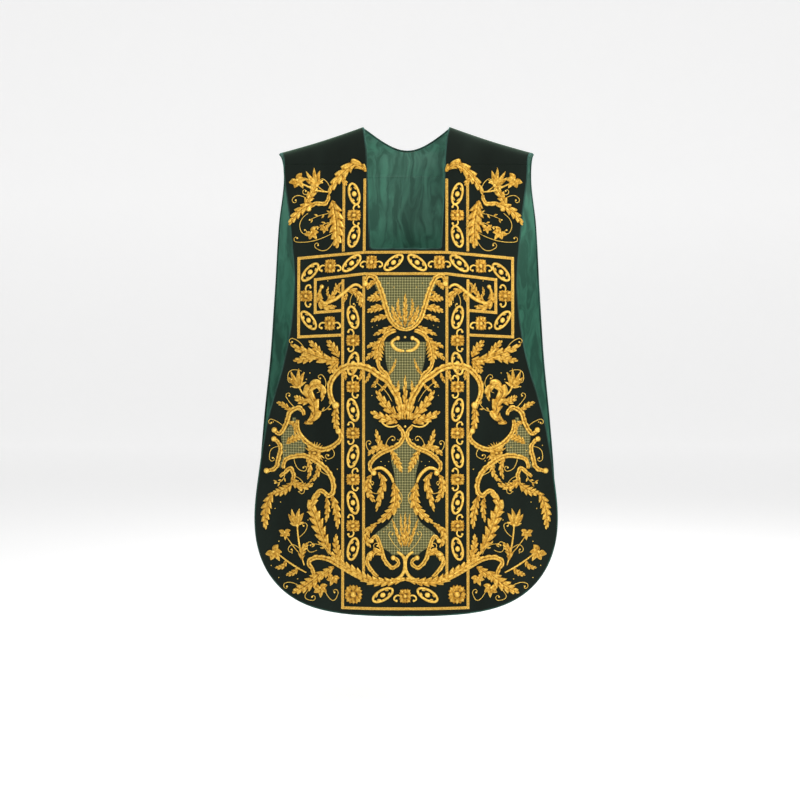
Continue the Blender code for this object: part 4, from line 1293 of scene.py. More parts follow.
def motif_tree():
    """Embroidered motifs set along a band, each turned as its point says."""
    tree, nodes, given, out = new_group("Band motifs", "GeometryNodeTree", (
        ("INPUT", "Geometry", "NodeSocketGeometry", None),
        ("INPUT", "Link", "NodeSocketObject", None),
        ("INPUT", "Rosette", "NodeSocketObject", None),
        ("INPUT", "Great Rosette", "NodeSocketObject", None),
        ("INPUT", "Material", "NodeSocketMaterial", None),
        ("OUTPUT", "Geometry", "NodeSocketGeometry", None),
    ))
    turn = nodes.add("GeometryNodeInputNamedAttribute", {"Name": "turn"}, data_type="FLOAT_VECTOR")
    sets = []
    for part, name in enumerate(("Link", "Rosette", "Great Rosette")):
        places = nodes.add("GeometryNodeMeshToPoints", {0: parted(nodes, given["Geometry"], part)})
        motif = nodes.add("GeometryNodeObjectInfo", {"Object": given[name]})
        inputs = {"Points": places.outputs[0], "Rotation": turn.outputs[0]}
        inputs["Instance"] = motif.outputs["Geometry"]
        sets.append(nodes.add("GeometryNodeInstanceOnPoints", inputs).outputs[0])
    finish_tree(nodes, sets, given["Material"], out)
    return tree


def run_tree(name, mesh, tree, values):
    """Runs a tree on a mesh and keeps what it makes as a plain piece."""
    source = bpy.data.objects.new(f"{name}.base", mesh)
    bpy.context.scene.collection.objects.link(source)
    modifier = source.modifiers.new(tree.name, "NODES")
    modifier.node_group = tree
    for item in tree.interface.items_tree:
        if item.in_out == "INPUT" and item.name in values:
            modifier[item.identifier] = values[item.name]
    bpy.context.view_layer.update()
    graph = bpy.context.evaluated_depsgraph_get()
    made = source.evaluated_get(graph)
    data = bpy.data.meshes.new_from_object(made, preserve_all_data_layers=True, depsgraph=graph)
    bpy.data.objects.remove(source)
    if not data.polygons:
        raise RuntimeError(f"{name}: the tree {tree.name} made no faces")
    piece = bpy.data.objects.new(name, data)
    bpy.context.scene.collection.objects.link(piece)
    return piece


def parts_mesh(name, points, outs, parts, edges, faces):
    """A mesh whose points carry which part they belong to and which way is outwards."""
    mesh = bpy.data.meshes.new(name)
    mesh.from_pydata(np.asarray(points).tolist(), edges, faces)
    part = mesh.attributes.new("part", "INT", "POINT")
    part.data.foreach_set("value", np.asarray(parts, np.int32))
    out = mesh.attributes.new("out", "FLOAT_VECTOR", "POINT")
    out.data.foreach_set("vector", np.asarray(outs, np.float32).ravel())
    return mesh


def grid_piece(name, outer, inner, kept, material):
    """A closed sheet between two equal grids of points, made of the cells that are kept."""
    rows, columns = outer.shape[:2]
    size = rows * columns
    edges, faces = {}, []
    for r, c in zip(*np.nonzero(kept)):
        a, b = r * columns + c, (r + 1) * columns + c
        for face in ((a, b, b + 1), (a, b + 1, a + 1)):
            faces += [face, tuple(size + v for v in reversed(face))]
            for k in range(3):
                edges[(face[k], face[(k + 1) % 3])] = True
    for start, end in edges:
        if (end, start) not in edges:
            faces += [(end, start, size + start), (end, size + start, size + end)]
    points = np.concatenate([outer.reshape(-1, 3), inner.reshape(-1, 3)])
    used = np.unique(np.array(faces))
    renamed = np.zeros(len(points), int)
    renamed[used] = np.arange(len(used))
    mesh = bpy.data.meshes.new(name)
    mesh.from_pydata(points[used].tolist(), [], renamed[np.array(faces)].tolist())
    piece = link_piece(name, mesh, material)
    mesh.set_sharp_from_angle(angle=math.radians(55))
    return piece


def seam_dip(distance):
    """How far cloth turns in at a sewn seam, by its distance from the seam."""
    return 0.0010 * np.exp(-np.abs(distance) / 0.0016)


def neck_edge(drop, inset):
    """Half width of the front neck cut, its lower corners rounded."""
    foot, corner = NECK_DEPTH + inset, NECK_CORNER + inset
    share = np.clip((drop - FRONT_SEAM[1]) / (NECK_DEPTH - FRONT_SEAM[1]), 0.0, 1.0)
    low = np.clip(drop - (foot - corner), 0.0, corner)
    edge = NECK_TOP + (NECK_FOOT - NECK_TOP) * share + inset
    return edge - corner + np.sqrt(np.maximum(corner ** 2 - low ** 2, 0.0))


def panel_drops(panel, inset):
    """Drops of a panel's grid rows down to the hem's corners, and the row at the neck's foot."""
    top = panel.seam_drop + SEAM_GAP
    near = [top + step * MM for step in (0.0, 0.8, 1.8, 3.2, 5.0, 8.0)]
    near += [top + 0.011 + 0.003 * i for i in range(8)]
    foot, corner = NECK_DEPTH + inset, NECK_CORNER + inset
    upper = np.linspace(near[-1], foot - corner, 12)[1:]
    turn = foot - corner + corner * np.sin(np.linspace(0, math.pi / 2, 7)[1:])
    lower = np.linspace(foot, panel.sides[-1][0], 48)[1:]
    return np.concatenate([near, upper, turn, lower]), len(near) + len(upper) + len(turn) - 1


def panel_cloth(name, panel, depths, material):
    """One cloth of a panel, with the neck cut left out of the front."""
    drops, foot_row = panel_drops(panel, CLOTH_INSET)
    widths, drops = panel.outline(CLOTH_INSET, drops, 18)
    middle = neck_edge(drops, CLOTH_INSET)
    below = np.clip((drops - drops[foot_row]) / NECK_MEET, 0.0, 1.0)
    middle = middle + (MIDDLE_BLOCK - middle) * below * below * (3 - 2 * below)
    middle = np.minimum(middle, 0.5 * widths)
    blocks = []
    for start, end, cells in ((-widths, -middle, SIDE_CELLS), (-middle, middle, MIDDLE_CELLS),
                              (middle, widths, SIDE_CELLS)):
        share = np.linspace(0, 1, cells + 1)[None, 1 if blocks else 0:]
        blocks.append(start[:, None] + (end - start)[:, None] * share)
    x = np.concatenate(blocks, axis=1)
    d = np.repeat(drops[:, None], x.shape[1], axis=1)
    dip = seam_dip(d - drops[0])
    kept = np.ones((x.shape[0] - 1, x.shape[1] - 1), bool)
    if panel is FRONT:
        kept[:foot_row, SIDE_CELLS:SIDE_CELLS + MIDDLE_CELLS] = False
    faces = [panel.under(x, d, depth + dip) for depth in depths]
    return grid_piece(name, *faces, kept, material), flat_cut(sum(faces) / 2, kept)


def crest_height(x):
    """Height of the shoulder crest: level over the neck, then falling to its end."""
    share = np.clip((np.abs(x) - NECK_CREST) / (SHOULDER_END - NECK_CREST), 0.0, 1.2)
    sag = 0.0025 * np.sin(math.pi * np.clip(share, 0.0, 1.0))
    return CREST_RISE - SHOULDER_FALL * share - sag


def shoulder_surface(hand, x, side, angle, depth):
    """Points of a shoulder: side is -1 before the crest and +1 behind it."""
    seam = np.where(side < 0, FRONT_SEAM[0], BACK_SEAM[0])
    fall = np.where(side < 0, FRONT_SEAM[1], BACK_SEAM[1]) - SEAM_GAP
    slope = math.atan2(SHOULDER_FALL, SHOULDER_END - NECK_CREST)
    lean = slope * np.clip(x / NECK_CREST, 0.0, 1.0)
    crest = crest_height(x)
    y = side * (CREST_FLAT + (seam - CREST_FLAT) * np.sin(angle))
    z = crest - (crest + fall) * (1.0 - np.cos(angle))
    out, up, away = np.cos(angle) * np.sin(lean), np.cos(angle) * np.cos(lean), np.sin(angle)
    size = np.sqrt(out ** 2 + up ** 2 + away ** 2)
    depth = depth + seam_dip((math.pi / 2 - angle) * 0.07)
    place = (hand * (x - depth * out / size), y - depth * side * away / size, z - depth * up / size)
    return np.stack(place, axis=-1)


def shoulder_rows(inset):
    """(side, angle, neck edge, shoulder end) of each row, from front seam to back seam."""
    near_seam = [math.pi / 2 - math.radians(a) for a in (0.0, 0.7, 1.5, 2.7, 4.5)]
    rows = []
    for angle in [*near_seam, *np.linspace(math.radians(81), 0.0, 14)]:
        neck = NECK_CREST - (NECK_CREST - NECK_TOP) * math.sin(angle) ** 2 + inset
        end = SHOULDER_END - (SHOULDER_END - FRONT_SIDES[0][1]) * math.sin(angle) - inset
        rows.append((-1, angle, neck, end))
    reach = BACK_SEAM[0] - CREST_FLAT
    closing = math.asin((NAPE_REACH + inset - CREST_FLAT) / reach)
    for share in np.sin(np.linspace(0, math.pi / 2, 16)):
        angle = closing * share
        y = CREST_FLAT + reach * math.sin(angle)
        oval = math.sqrt(max(1.0 - (y / (NAPE_REACH + inset)) ** 2, 0.0))
        neck = max((NECK_CREST + inset) * oval, CENTRE_GAP)
        rows.append((1, angle, neck, SHOULDER_END - inset))
    for angle in [*np.linspace(closing, near_seam[-1], 4)[1:], *near_seam[-2::-1]]:
        rows.append((1, angle, CENTRE_GAP, SHOULDER_END - inset))
    return rows


def shoulder_cloth(name, hand, depths, material):
    side, angle, neck, end = (np.array(v) for v in zip(*shoulder_rows(CLOTH_INSET)))
    x = neck[:, None] + (end - neck)[:, None] * np.linspace(0, 1, 23)[None, :]
    side, angle = (np.repeat(v[:, None], x.shape[1], axis=1) for v in (side, angle))
    faces = [shoulder_surface(hand, x, side, angle, depth) for depth in depths]
    kept = np.ones((x.shape[0] - 1, x.shape[1] - 1), bool)
    return grid_piece(name, *faces, kept, material), flat_cut(sum(faces) / 2, kept)


def cord_along(name, points):
    """A corded velvet edging along points."""
    points = np.array(points)
    keep = np.concatenate([[True], np.linalg.norm(np.diff(points, axis=0), axis=1) > 2e-4])
    points = points[keep]
    mesh = bpy.data.meshes.new(name)
    mesh.from_pydata(points.tolist(), [(i, i + 1) for i in range(len(points) - 1)], [])
    tree = group_named("Corded edge", cord_tree)
    values = {"Radius": sizes().cord / 2, "Material": finish_named("edge_cord_velvet")}
    return run_tree(name, mesh, tree, values)


def panel_cord(name, panel):
    """The edging down one side of a panel, round its hem and up the other side."""
    top = panel.seam_drop + SEAM_GAP + CORD_START
    side = np.concatenate([top + CORD_STEP * np.arange(11),
                           np.linspace(top + 12 * CORD_STEP, panel.sides[-1][0], 60)])
    widths, drops = panel.outline(PIPING_INSET, side, 26)
    low = np.linspace(widths[-1], -widths[-1], 12)[1:-1]
    x = np.concatenate([widths, low, -widths[::-1]])
    d = np.concatenate([drops, np.full(len(low), drops[-1]), drops[::-1]])
    return cord_along(name, panel.under(x, d, PIPING_DEPTH))


def neck_cord(name):
    """The edging down one side of the neck cut, across its foot and up the other side."""
    drops, foot_row = panel_drops(FRONT, PIPING_INSET)
    d = drops[:foot_row + 1]
    d[0] += CORD_START
    x = neck_edge(d, PIPING_INSET)
    low = np.linspace(x[-1], -x[-1], 14)[1:-1]
    whole = np.concatenate([x, low, -x[::-1]])
    fall = np.concatenate([d, np.full(len(low), d[-1]), d[::-1]])
    return cord_along(name, FRONT.under(whole, fall, PIPING_DEPTH))


def shoulder_cord(name, hand, at_neck):
    """The edging along a shoulder's neck edge, or along its outer end."""
    rows = shoulder_rows(PIPING_INSET)
    if at_neck:
        rows = rows[:[neck for _, _, neck, _ in rows].index(CENTRE_GAP) + 1]
    side, angle, neck, end = (np.array(v) for v in zip(*rows))
    angle = np.minimum(angle, math.pi / 2 - 0.006)
    points = shoulder_surface(hand, neck if at_neck else end, side, angle, PIPING_DEPTH)
    return cord_along(name, points)


def flat_cut(surface, kept):
    """Width, length and area of a cloth's flat pattern: its rows laid out straight, as far
    apart as they are at the middle of the cloth."""
    across = np.linalg.norm(np.diff(surface, axis=1), axis=2)
    step = np.diff(surface[:, surface.shape[1] // 2], axis=0)
    way = surface[:-1, -1] - surface[:-1, 0]
    way /= np.linalg.norm(way, axis=1)[:, None]
    down = np.linalg.norm(step - (step * way).sum(axis=1)[:, None] * way, axis=1)
    strips = (0.5 * (across[:-1] + across[1:]) * kept).sum(axis=1)
    return float(across.sum(axis=1).max()), float(down.sum()), float((strips * down).sum())


LAYERS = (("velvet", VELVET, "green_velvet"), ("interlining", CANVAS, "stiff_canvas"),
          ("lining", SATIN, "moire_satin"))
SLOTS = {"velvet": "velvet", "interlining": "interlining", "lining": "satin_lining"}


def stand_for(piece, body, *nodes, slot, panel=None):
    """Parents a finished piece to its body, or where a panel is given only bakes its transform, and
    hides the nodes it stands for; the finish slot is not used.
    """
    if panel is None:
        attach(piece, body)
    else:
        panel.hinge_blend(piece)
    if nodes:
        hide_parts(*nodes)


def make_panel_cloths(word, panel):
    """The three cloths of a panel and its edging."""
    cord = panel_cord(f"{word}_edge_cord", panel)
    cords = [cord]
    stand_for(cord, panel.body, f"{word}_edge_piping", slot="piping", panel=panel)
    if panel is FRONT:
        cords.append(neck_cord("front_neck_cord"))
        stand_for(cords[1], panel.body, "front_neck_piping", slot="piping", panel=panel)
    for layer, depths, finish in LAYERS:
        piece, cut = panel_cloth(f"{word}_{layer}_cloth", panel, depths, finish_named(finish))
        stand_for(piece, panel.body, f"{word}_{layer}", slot=SLOTS[layer], panel=panel)


def make_shoulders():
    """The two shoulder pieces of the yoke, with their edgings."""
    for hand, word in ((-1, "right"), (1, "left")):
        for part, at_neck in (("neck", True), ("armhole", False)):
            cord = shoulder_cord(f"{word}_{part}_cord", hand, at_neck)
            stand_for(cord, "shoulders", f"{word}_{part}_piping", slot="piping")
        for layer, depths, finish in LAYERS:
            name = f"{word}_shoulder_{layer}_cloth"
            piece, cut = shoulder_cloth(name, hand, depths, finish_named(finish))
            stand_for(piece, "shoulders", f"{word}_shoulder_{layer}", slot=SLOTS[layer])


def braid_mesh(name, panel, corners):
    """The tape of a braid through its corners, with the line that its stitches follow."""
    corners = np.array(corners, float)
    route = [corners[:1]]
    for start, end in zip(corners, corners[1:]):
        steps = max(int(np.linalg.norm(end - start) / 0.006), 1)
        route.append(start + (end - start) * np.arange(1, steps + 1)[:, None] / steps)
    route = np.concatenate(route)
    way = np.diff(route, axis=0)
    way /= np.linalg.norm(way, axis=1, keepdims=True)
    arrive, leave = np.concatenate([way[:1], way]), np.concatenate([way, way[-1:]])
    turn = arrive + leave
    turn /= np.linalg.norm(turn, axis=1, keepdims=True)
    across = np.stack([-turn[:, 1], turn[:, 0]], axis=1)
    mitre = 1.0 / np.maximum(np.abs((turn * leave).sum(axis=1)), 0.5)
    half = 0.5 * sizes().braid_width * mitre
    points, outs, count = [], [], len(route)
    for hand, height in ((-1, 0.0008), (1, 0.0008), (1, SUNK), (-1, SUNK)):
        x, d = (route + across * (hand * half)[:, None]).T
        points.append(panel.place(x, d, height))
        outs.append(panel.normal(x, d))
    points.append(panel.place(route[:, 0], route[:, 1], 0.0009))
    outs.append(panel.normal(route[:, 0], route[:, 1]))
    faces = []
    for i in range(count - 1):
        for k in range(4):
            a, b = k * count + i, ((k + 1) % 4) * count + i
            faces.append((a, b, b + 1, a + 1))
    faces.append(tuple(k * count for k in (3, 2, 1, 0)))
    faces.append(tuple(k * count + count - 1 for k in range(4)))
    edges = [(4 * count + i, 4 * count + i + 1) for i in range(count - 1)]
    parts = [0] * (4 * count) + [1] * count
    return parts_mesh(name, np.concatenate(points), np.concatenate(outs), parts, edges, faces)


def make_braid(name, panel, corners, node):
    """One braid, worked in gold thread, standing for its node."""
    tree = group_named("Plaited braid", braid_tree)
    given = sizes()
    values = {"Width": given.braid_width, "Pitch": given.braid_pitch, "Slant": given.braid_slant,
              "Material": finish_named("gold_braid_thread")}
    piece = run_tree(name, braid_mesh(name, panel, corners), tree, values)
    turn_outwards(piece)
    stand_for(piece, panel.body, node, slot="gold_braid")


def turn_outwards(piece):
    """Face each closed part of a piece outwards."""
    work = bmesh.new()
    work.from_mesh(piece.data)
    bmesh.ops.recalc_face_normals(work, faces=work.faces)
    work.to_mesh(piece.data)
    work.free()


def both_halves(corners):
    """A route in along one half and back out along the other."""
    return corners + [(-x, d) for x, d in reversed(corners)]


def make_front_braids():
    """The cross of braids on the front panel."""
    half = sizes().braid_width / 2
    clear = 0.0004 + half
    for hand, word in ((-1, "right"), (1, "left")):
        for x, part in ((COLUMN_OUTER, "outer"), (COLUMN_INNER, "inner")):
            run = [(hand * x, BRAID_HEAD), (hand * x, CROSS_TOP - clear)]
            make_braid(f"{word}_breast_{part}_gold", FRONT, run, f"{word}_breast_{part}_braid")
        head = CROSS_TOP + CROSS_BORDER + half + clear
        run = [(hand * COLUMN_INNER, head), (hand * COLUMN_INNER, INNER_BRAID_FOOT)]
        make_braid(f"{word}_column_inner_gold", FRONT, run, f"{word}_column_inner_braid")
    for word, end, foot, top in (
        ("outer", CROSS_OUTER, CROSS_FOOT, CROSS_TOP),
        ("inner", CROSS_INNER, CROSS_INNER_FOOT, CROSS_TOP + CROSS_BORDER),
    ):
        arm = [(COLUMN_OUTER + clear, foot), (end, foot + FOOT_DROOP)]
        arm += [(end, top + CROSS_DROOP), (COLUMN_INNER, top)]
        make_braid(f"cross_{word}_gold", FRONT, both_halves(arm), f"cross_{word}_braid")
    column = [(COLUMN_OUTER, COLUMN_HEAD), (COLUMN_OUTER, BASE_LINE)]
    make_braid("column_outer_gold", FRONT, both_halves(column), "column_outer_braid")


def make_back_braids():
    """The column of braids on the back panel."""
    column = [(COLUMN_OUTER, BRAID_HEAD), (COLUMN_OUTER, BASE_LINE)]
    make_braid("back_column_outer_gold", BACK, both_halves(column), "back_column_outer_braid")
    for hand, word in ((-1, "right"), (1, "left")):
        run = [(hand * COLUMN_INNER, BRAID_HEAD), (hand * COLUMN_INNER, INNER_BRAID_FOOT)]
        make_braid(f"back_{word}_inner_gold", BACK, run, f"back_{word}_inner_braid")


def make_lattice(name, panel, shape, node, hand=1):
    """A lattice ground: its cloth, the threads laid over it and their knots."""
    shape = [(d * CM, *sorted((hand * a * CM, hand * b * CM))) for d, a, b in shape]
    low_at = [(d, a) for d, a, _ in shape]
    high_at = [(d, b) for d, _, b in shape]
    top, foot = shape[0][0], shape[-1][0]
    drops = np.linspace(top, foot, int((foot - top) / 0.004) + 2)
    low, high = smooth_through(low_at, drops), smooth_through(high_at, drops)
    x = low[:, None] + (high - low)[:, None] * np.linspace(0, 1, 13)[None, :]
    d = np.repeat(drops[:, None], 13, axis=1)
    rows, size = len(drops), x.size
    points = [panel.place(x.ravel(), d.ravel(), h) for h in (0.0005, SUNK)]
    outs = [panel.normal(x.ravel(), d.ravel())] * 2
    index = np.arange(size).reshape(rows, 13)
    faces = []
    for r in range(rows - 1):
        for c in range(12):
            a, b = index[r, c], index[r + 1, c]
            faces += [(a, a + 1, b + 1, b), (size + b, size + b + 1, size + a + 1, size + a)]
    rim = [*index[0, :-1], *index[:-1, -1], *index[-1, :0:-1], *index[:0:-1, 0]]
    for start, end in zip(rim, rim[1:] + rim[:1]):
        faces.append((end, start, size + start, size + end))
    parts, edges, count = [0] * (2 * size), [], 2 * size
    pitch, clear = sizes().lattice_pitch, 0.0012
    columns = np.arange(math.ceil(low.min() / pitch), math.floor(high.max() / pitch) + 1) * pitch
    down = top + pitch * (np.arange(int((foot - top) / pitch)) + 0.5)
    starts, ends = smooth_through(low_at, down) + clear, smooth_through(high_at, down) - clear
    lines = []
    for level, start, end in zip(down, starts, ends):
        if end > start:
            span = np.linspace(start, end, max(int((end - start) / 0.004), 2))
            lines.append((span, np.full(len(span), level)))
    fine = np.linspace(top + 0.001, foot - 0.001, int((foot - top) / 0.003))
    near, far = smooth_through(low_at, fine) + clear, smooth_through(high_at, fine) - clear
    for place in columns:
        run = np.nonzero((near < place) & (place < far))[0]
        for part in np.split(run, np.nonzero(np.diff(run) > 1)[0] + 1):
            if len(part) > 2:
                lines.append((np.full(len(part), place), fine[part]))
    for span, level in lines:
        points.append(panel.place(span, level, 0.0006))
        outs.append(panel.normal(span, level))
        edges += [(count + i, count + i + 1) for i in range(len(span) - 1)]
        parts += [1] * len(span)
        count += len(span)
    knots = [(a, b) for b, start, end in zip(down, starts, ends)
             for a in columns if start < a < end]
    if knots:
        a, b = np.array(knots).T
        points.append(panel.place(a, b, 0.0009))
        outs.append(panel.normal(a, b))
        parts += [2] * len(knots)
    mesh = parts_mesh(name, np.concatenate(points), np.concatenate(outs), parts, edges, faces)
    values = {"Thread": sizes().lattice_thread, "Knot": sizes().lattice_knot,
              "Cloth": finish_named("lattice_cloth"), "Gold": finish_named("lattice_thread")}
    piece = run_tree(name, mesh, group_named("Couched lattice", lattice_tree), values)
    turn_outwards(piece)
    stand_for(piece, panel.body, node, slot="lattice_ground")


def make_front_lattices():
    make_lattice("bell_lattice_work", FRONT, BELL, "bell_lattice")
    make_lattice("middle_lattice_work", FRONT, MIDDLE, "middle_lattice")
    make_lattice("lower_lattice_work", FRONT, VASE, "lower_lattice")
    for hand, word in ((-1, "right"), (1, "left")):
        name = f"{word}_side_lattice"
        make_lattice(f"{name}_work", FRONT, SIDE, name, hand)


def make_back_lattices():
    for word, shape in (("upper", BACK_SHIELD), ("middle", BACK_HEART), ("lower", VASE)):
        make_lattice(f"back_{word}_lattice_work", BACK, shape, f"back_{word}_lattice")


def motif(name, draw):
    """A motif drawn flat about the origin, for setting along the bands."""
    relief = Relief()
    draw(relief)
    points = np.concatenate(relief.points) * (1, -1, 1)
    mesh = bpy.data.meshes.new(name)
    mesh.from_pydata(points.tolist(), [], relief.faces)
    add_uv(mesh, "thread", np.concatenate(relief.threads))
    # Each point keeps its painted shading as an attribute, for the gold thread's painted shade and
    # highlight.
    painted_shading = mesh.attributes.new("painted_shading", "FLOAT", "POINT")
    painted_shading.data.foreach_set("value", np.concatenate(relief.painted_shadings).astype(np.float32))
    return link_piece(name, mesh, None)


def make_bands(name, panel, places):
    """Links and rosettes along the bands; places are (kind, across, drop, tilt) on one half."""
    draws = {"Link": draw_link, "Rosette": draw_rosette, "Great Rosette": draw_great_rosette}
    motifs = {label: motif(f"{name}.{label}", draw) for label, draw in draws.items()}
    spots = []
    for kind, a, d, tilt in places:
        spots.append((kind, a * CM, d * CM, tilt))
        if a > 0.0:
            spots.append((kind, -a * CM, d * CM, 180.0 - tilt))
    kinds, x, d, tilts = (np.array(v, float) for v in zip(*spots))
    outs = panel.normal(x, d)
    points = panel.place(x, d, -0.0002)
    turns = []
    for out, tilt in zip(outs, tilts):
        up = np.array((0.0, 0.0, 1.0)) - out * out[2]
        up /= np.linalg.norm(up)
        frame_axes = Matrix(np.stack([np.cross(up, out), up, out], axis=1).tolist())
        turn = frame_axes @ Matrix.Rotation(math.radians(tilt), 3, "Z")
        turns.append(tuple(turn.to_euler()))
    mesh = parts_mesh(name, points, outs, kinds.astype(int), [], [])
    turn = mesh.attributes.new("turn", "FLOAT_VECTOR", "POINT")
    turn.data.foreach_set("vector", np.array(turns, np.float32).ravel())
    values = {**motifs, "Material": finish_named("gold_thread")}
    piece = run_tree(name, mesh, group_named("Band motifs", motif_tree), values)
    for flat in motifs.values():
        bpy.data.objects.remove(flat)
    stand_for(piece, panel.body, slot="gold_embroidery")


def column_places(top):
    """The motifs of the two upright bands and the band across the foot."""
    places = [(0, 11.5, 14.4, -14.0), (1, 11.5, 19.2, 180.0), (0, 11.5, 24.0, 14.0)]
    for i in range(-2 if top < 40.0 else 0, 11):
        if i % 2:
            places.append((1, 11.5, 42.0 + 5.1 * i, 0.0 if i % 4 == 1 else 180.0))
        else:
            places.append((0, 11.5, 42.0 + 5.1 * i, -14.0 if i % 4 == 0 else 14.0))
    return places + [(2, 11.4, 103.0, 0.0), (0, 4.9, 103.0, 60.0), (1, 0.0, 103.2, -90.0)]


CROSS_PLACES = (
    (0, 2.6, 29.9, 50.0), (1, 7.5, 29.8, -90.0), (0, 11.9, 30.0, 48.0), (1, 16.7, 30.6, -90.0),
    (0, 21.2, 31.9, 45.0), (1, 22.1, 37.2, 180.0), (0, 21.5, 42.6, -42.0), (1, 16.7, 43.3, -90.0),
)


def make_work(name, panel, designs, touches_seam=False):
    """One piece of raised embroidery from its design tables."""
    work = Relief()
    for design in designs:
        work.join(draw_design(design))
    piece = work.make(name, panel, finish_named("gold_thread"))
    seam = panel if touches_seam else None
    stand_for(piece, panel.body, slot="gold_embroidery", panel=seam)


def make_front_embroidery():
    make_work("front_breast_sprays", FRONT, (BREAST,), touches_seam=True)
    make_work("front_side_scrolls", FRONT, (UNDER_ARM, SIDE_FIELD))
    make_work("front_lower_sprays", FRONT, (LOWER_FIELD,))
    make_work("front_column_scrolls", FRONT, (COLUMN_FIELD, CENTRE_LINE))
    make_work("front_arm_scrolls", FRONT, (ARM,))
    make_bands("front_bands", FRONT, [*column_places(42.0), *CROSS_PLACES])


def make_back_embroidery():
    make_work("back_breast_sprays", BACK, (BREAST,), touches_seam=True)
    make_work("back_side_scrolls", BACK, (UNDER_ARM, SIDE_FIELD))
    make_work("back_lower_sprays", BACK, (LOWER_FIELD,))
    make_work("back_column_scrolls", BACK, (COLUMN_FIELD, CENTRE_LINE, BACK_HEAD))
    make_bands("back_bands", BACK, column_places(30.0))


def make_light(name, place, aim, size, power, colour):
    """A soft rectangular light at place, turned towards aim."""
    data = bpy.data.lights.new(name, "AREA")
    data.shape = "RECTANGLE"
    data.size, data.size_y = size
    data.energy = power
    data.color = colour
    light = bpy.data.objects.new(name, data)
    bpy.context.scene.collection.objects.link(light)
    light.location = place
    light.rotation_euler = (Vector(aim) - Vector(place)).to_track_quat("-Z", "Y").to_euler()


def make_backdrop():
    """A pale floor that turns up into a backdrop."""
    floor, far, turn = -1.34, STAGE_REACH, 2.5
    angles = np.linspace(0, math.pi / 2, 13)
    profile = [(-far, floor), (far - turn, floor)]
    for angle in angles[1:]:
        across, up = turn * math.sin(angle), turn - turn * math.cos(angle)
        profile.append((far - turn + across, floor + up))
    profile.append((far, far / 2))
    points = [(x, y, z) for x in (-far, far) for y, z in profile]
    count = len(profile)
    faces = [(i, count + i, count + i + 1, i + 1) for i in range(count - 1)]
    mesh = bpy.data.meshes.new("studio_sweep")
    mesh.from_pydata(points, [], faces)
    sweep = bpy.data.objects.new("studio_sweep", mesh)
    bpy.context.scene.collection.objects.link(sweep)
    mesh.materials.append(finish_named("pale_stage"))
    mesh.shade_smooth()


def make_camera():
    """A level camera in front of the garment, shifted so that it sits in its place."""
    data = bpy.data.cameras.new("camera")
    data.lens = 63.0
    data.shift_x = -0.052
    data.shift_y = -0.058
    data.clip_end = 60.0
    camera = bpy.data.objects.new("camera", data)
    bpy.context.scene.collection.objects.link(camera)
    camera.location = (0.08, -3.2, -0.50)
    camera.rotation_euler = (math.radians(90), 0, 0)
    bpy.context.scene.camera = camera


def make_stage():
    """Backdrop, camera, four soft lights and a white sky."""
    make_backdrop()
    make_camera()
    make_light("key", (1.9, -2.6, 0.9), (0.0, 0.0, -0.5), (1.4, 1.8), 62.0, (1.0, 0.98, 0.95))
    make_light("fill", (-2.4, -2.6, 0.2), (0.0, 0.0, -0.5), (2.0, 2.0), 26.0, (0.94, 0.97, 1.0))
    make_light("top", (0.2, -0.8, 2.6), (0.0, 0.0, -0.5), (2.0, 1.4), 30.0, (1.0, 1.0, 1.0))
    make_light("behind", (0.6, 2.2, 1.6), (0.0, 0.2, -0.6), (2.0, 1.6), 30.0, (1.0, 1.0, 1.0))
    world = bpy.data.worlds.new("studio")
    world.use_nodes = True
    sky = world.node_tree.nodes["Background"]
    sky.inputs[0].default_value = (1.0, 1.0, 1.0, 1.0)
    sky.inputs[1].default_value = 0.55
    bpy.context.scene.view_settings.view_transform = "Standard"
    bpy.context.scene.world = world


def sizes():
    """The sizes set in the panel."""
    return bpy.context.scene.chasuble_sizes


def length_property(name, description, default, low, high):
    return FloatProperty(name=name, description=description, default=default, min=low, max=high,
                         subtype="DISTANCE", unit="LENGTH", precision=4)


def colour_property(name, description, default):
    return FloatVectorProperty(name=name, description=description, default=default, size=3,
                               min=0.0, max=1.0, subtype="COLOR")


class ChasubleSizes(PropertyGroup):
    """Sizes of the trimmings."""

    cord: length_property(
        "Edge cord", "Thickness of the velvet cord along the edges", 0.0044, 0.002, 0.006,
    )
    braid_width: length_property("Braid width", "Width of the gold braids", 0.006, 0.003, 0.009)
    braid_pitch: length_property(
        "Braid pitch", "Distance between stitches of a braid", 0.0026, 0.0016, 0.006,
    )
    lattice_pitch: length_property(
        "Lattice pitch", "Distance between lattice threads", 0.0058, 0.004, 0.02,
    )
    lattice_thread: length_property(
        "Lattice thread", "Thickness of the lattice threads", 0.0007, 0.0004, 0.002,
    )
    lattice_knot: length_property(
        "Lattice knot", "Length of the stitches on the lattice", 0.0032, 0.001, 0.005,
    )
    braid_slant: FloatProperty(
        name="Braid slant", description="Slant of the stitches of a braid", default=0.55,
        min=0.0, max=1.2, subtype="ANGLE", unit="ROTATION",
    )


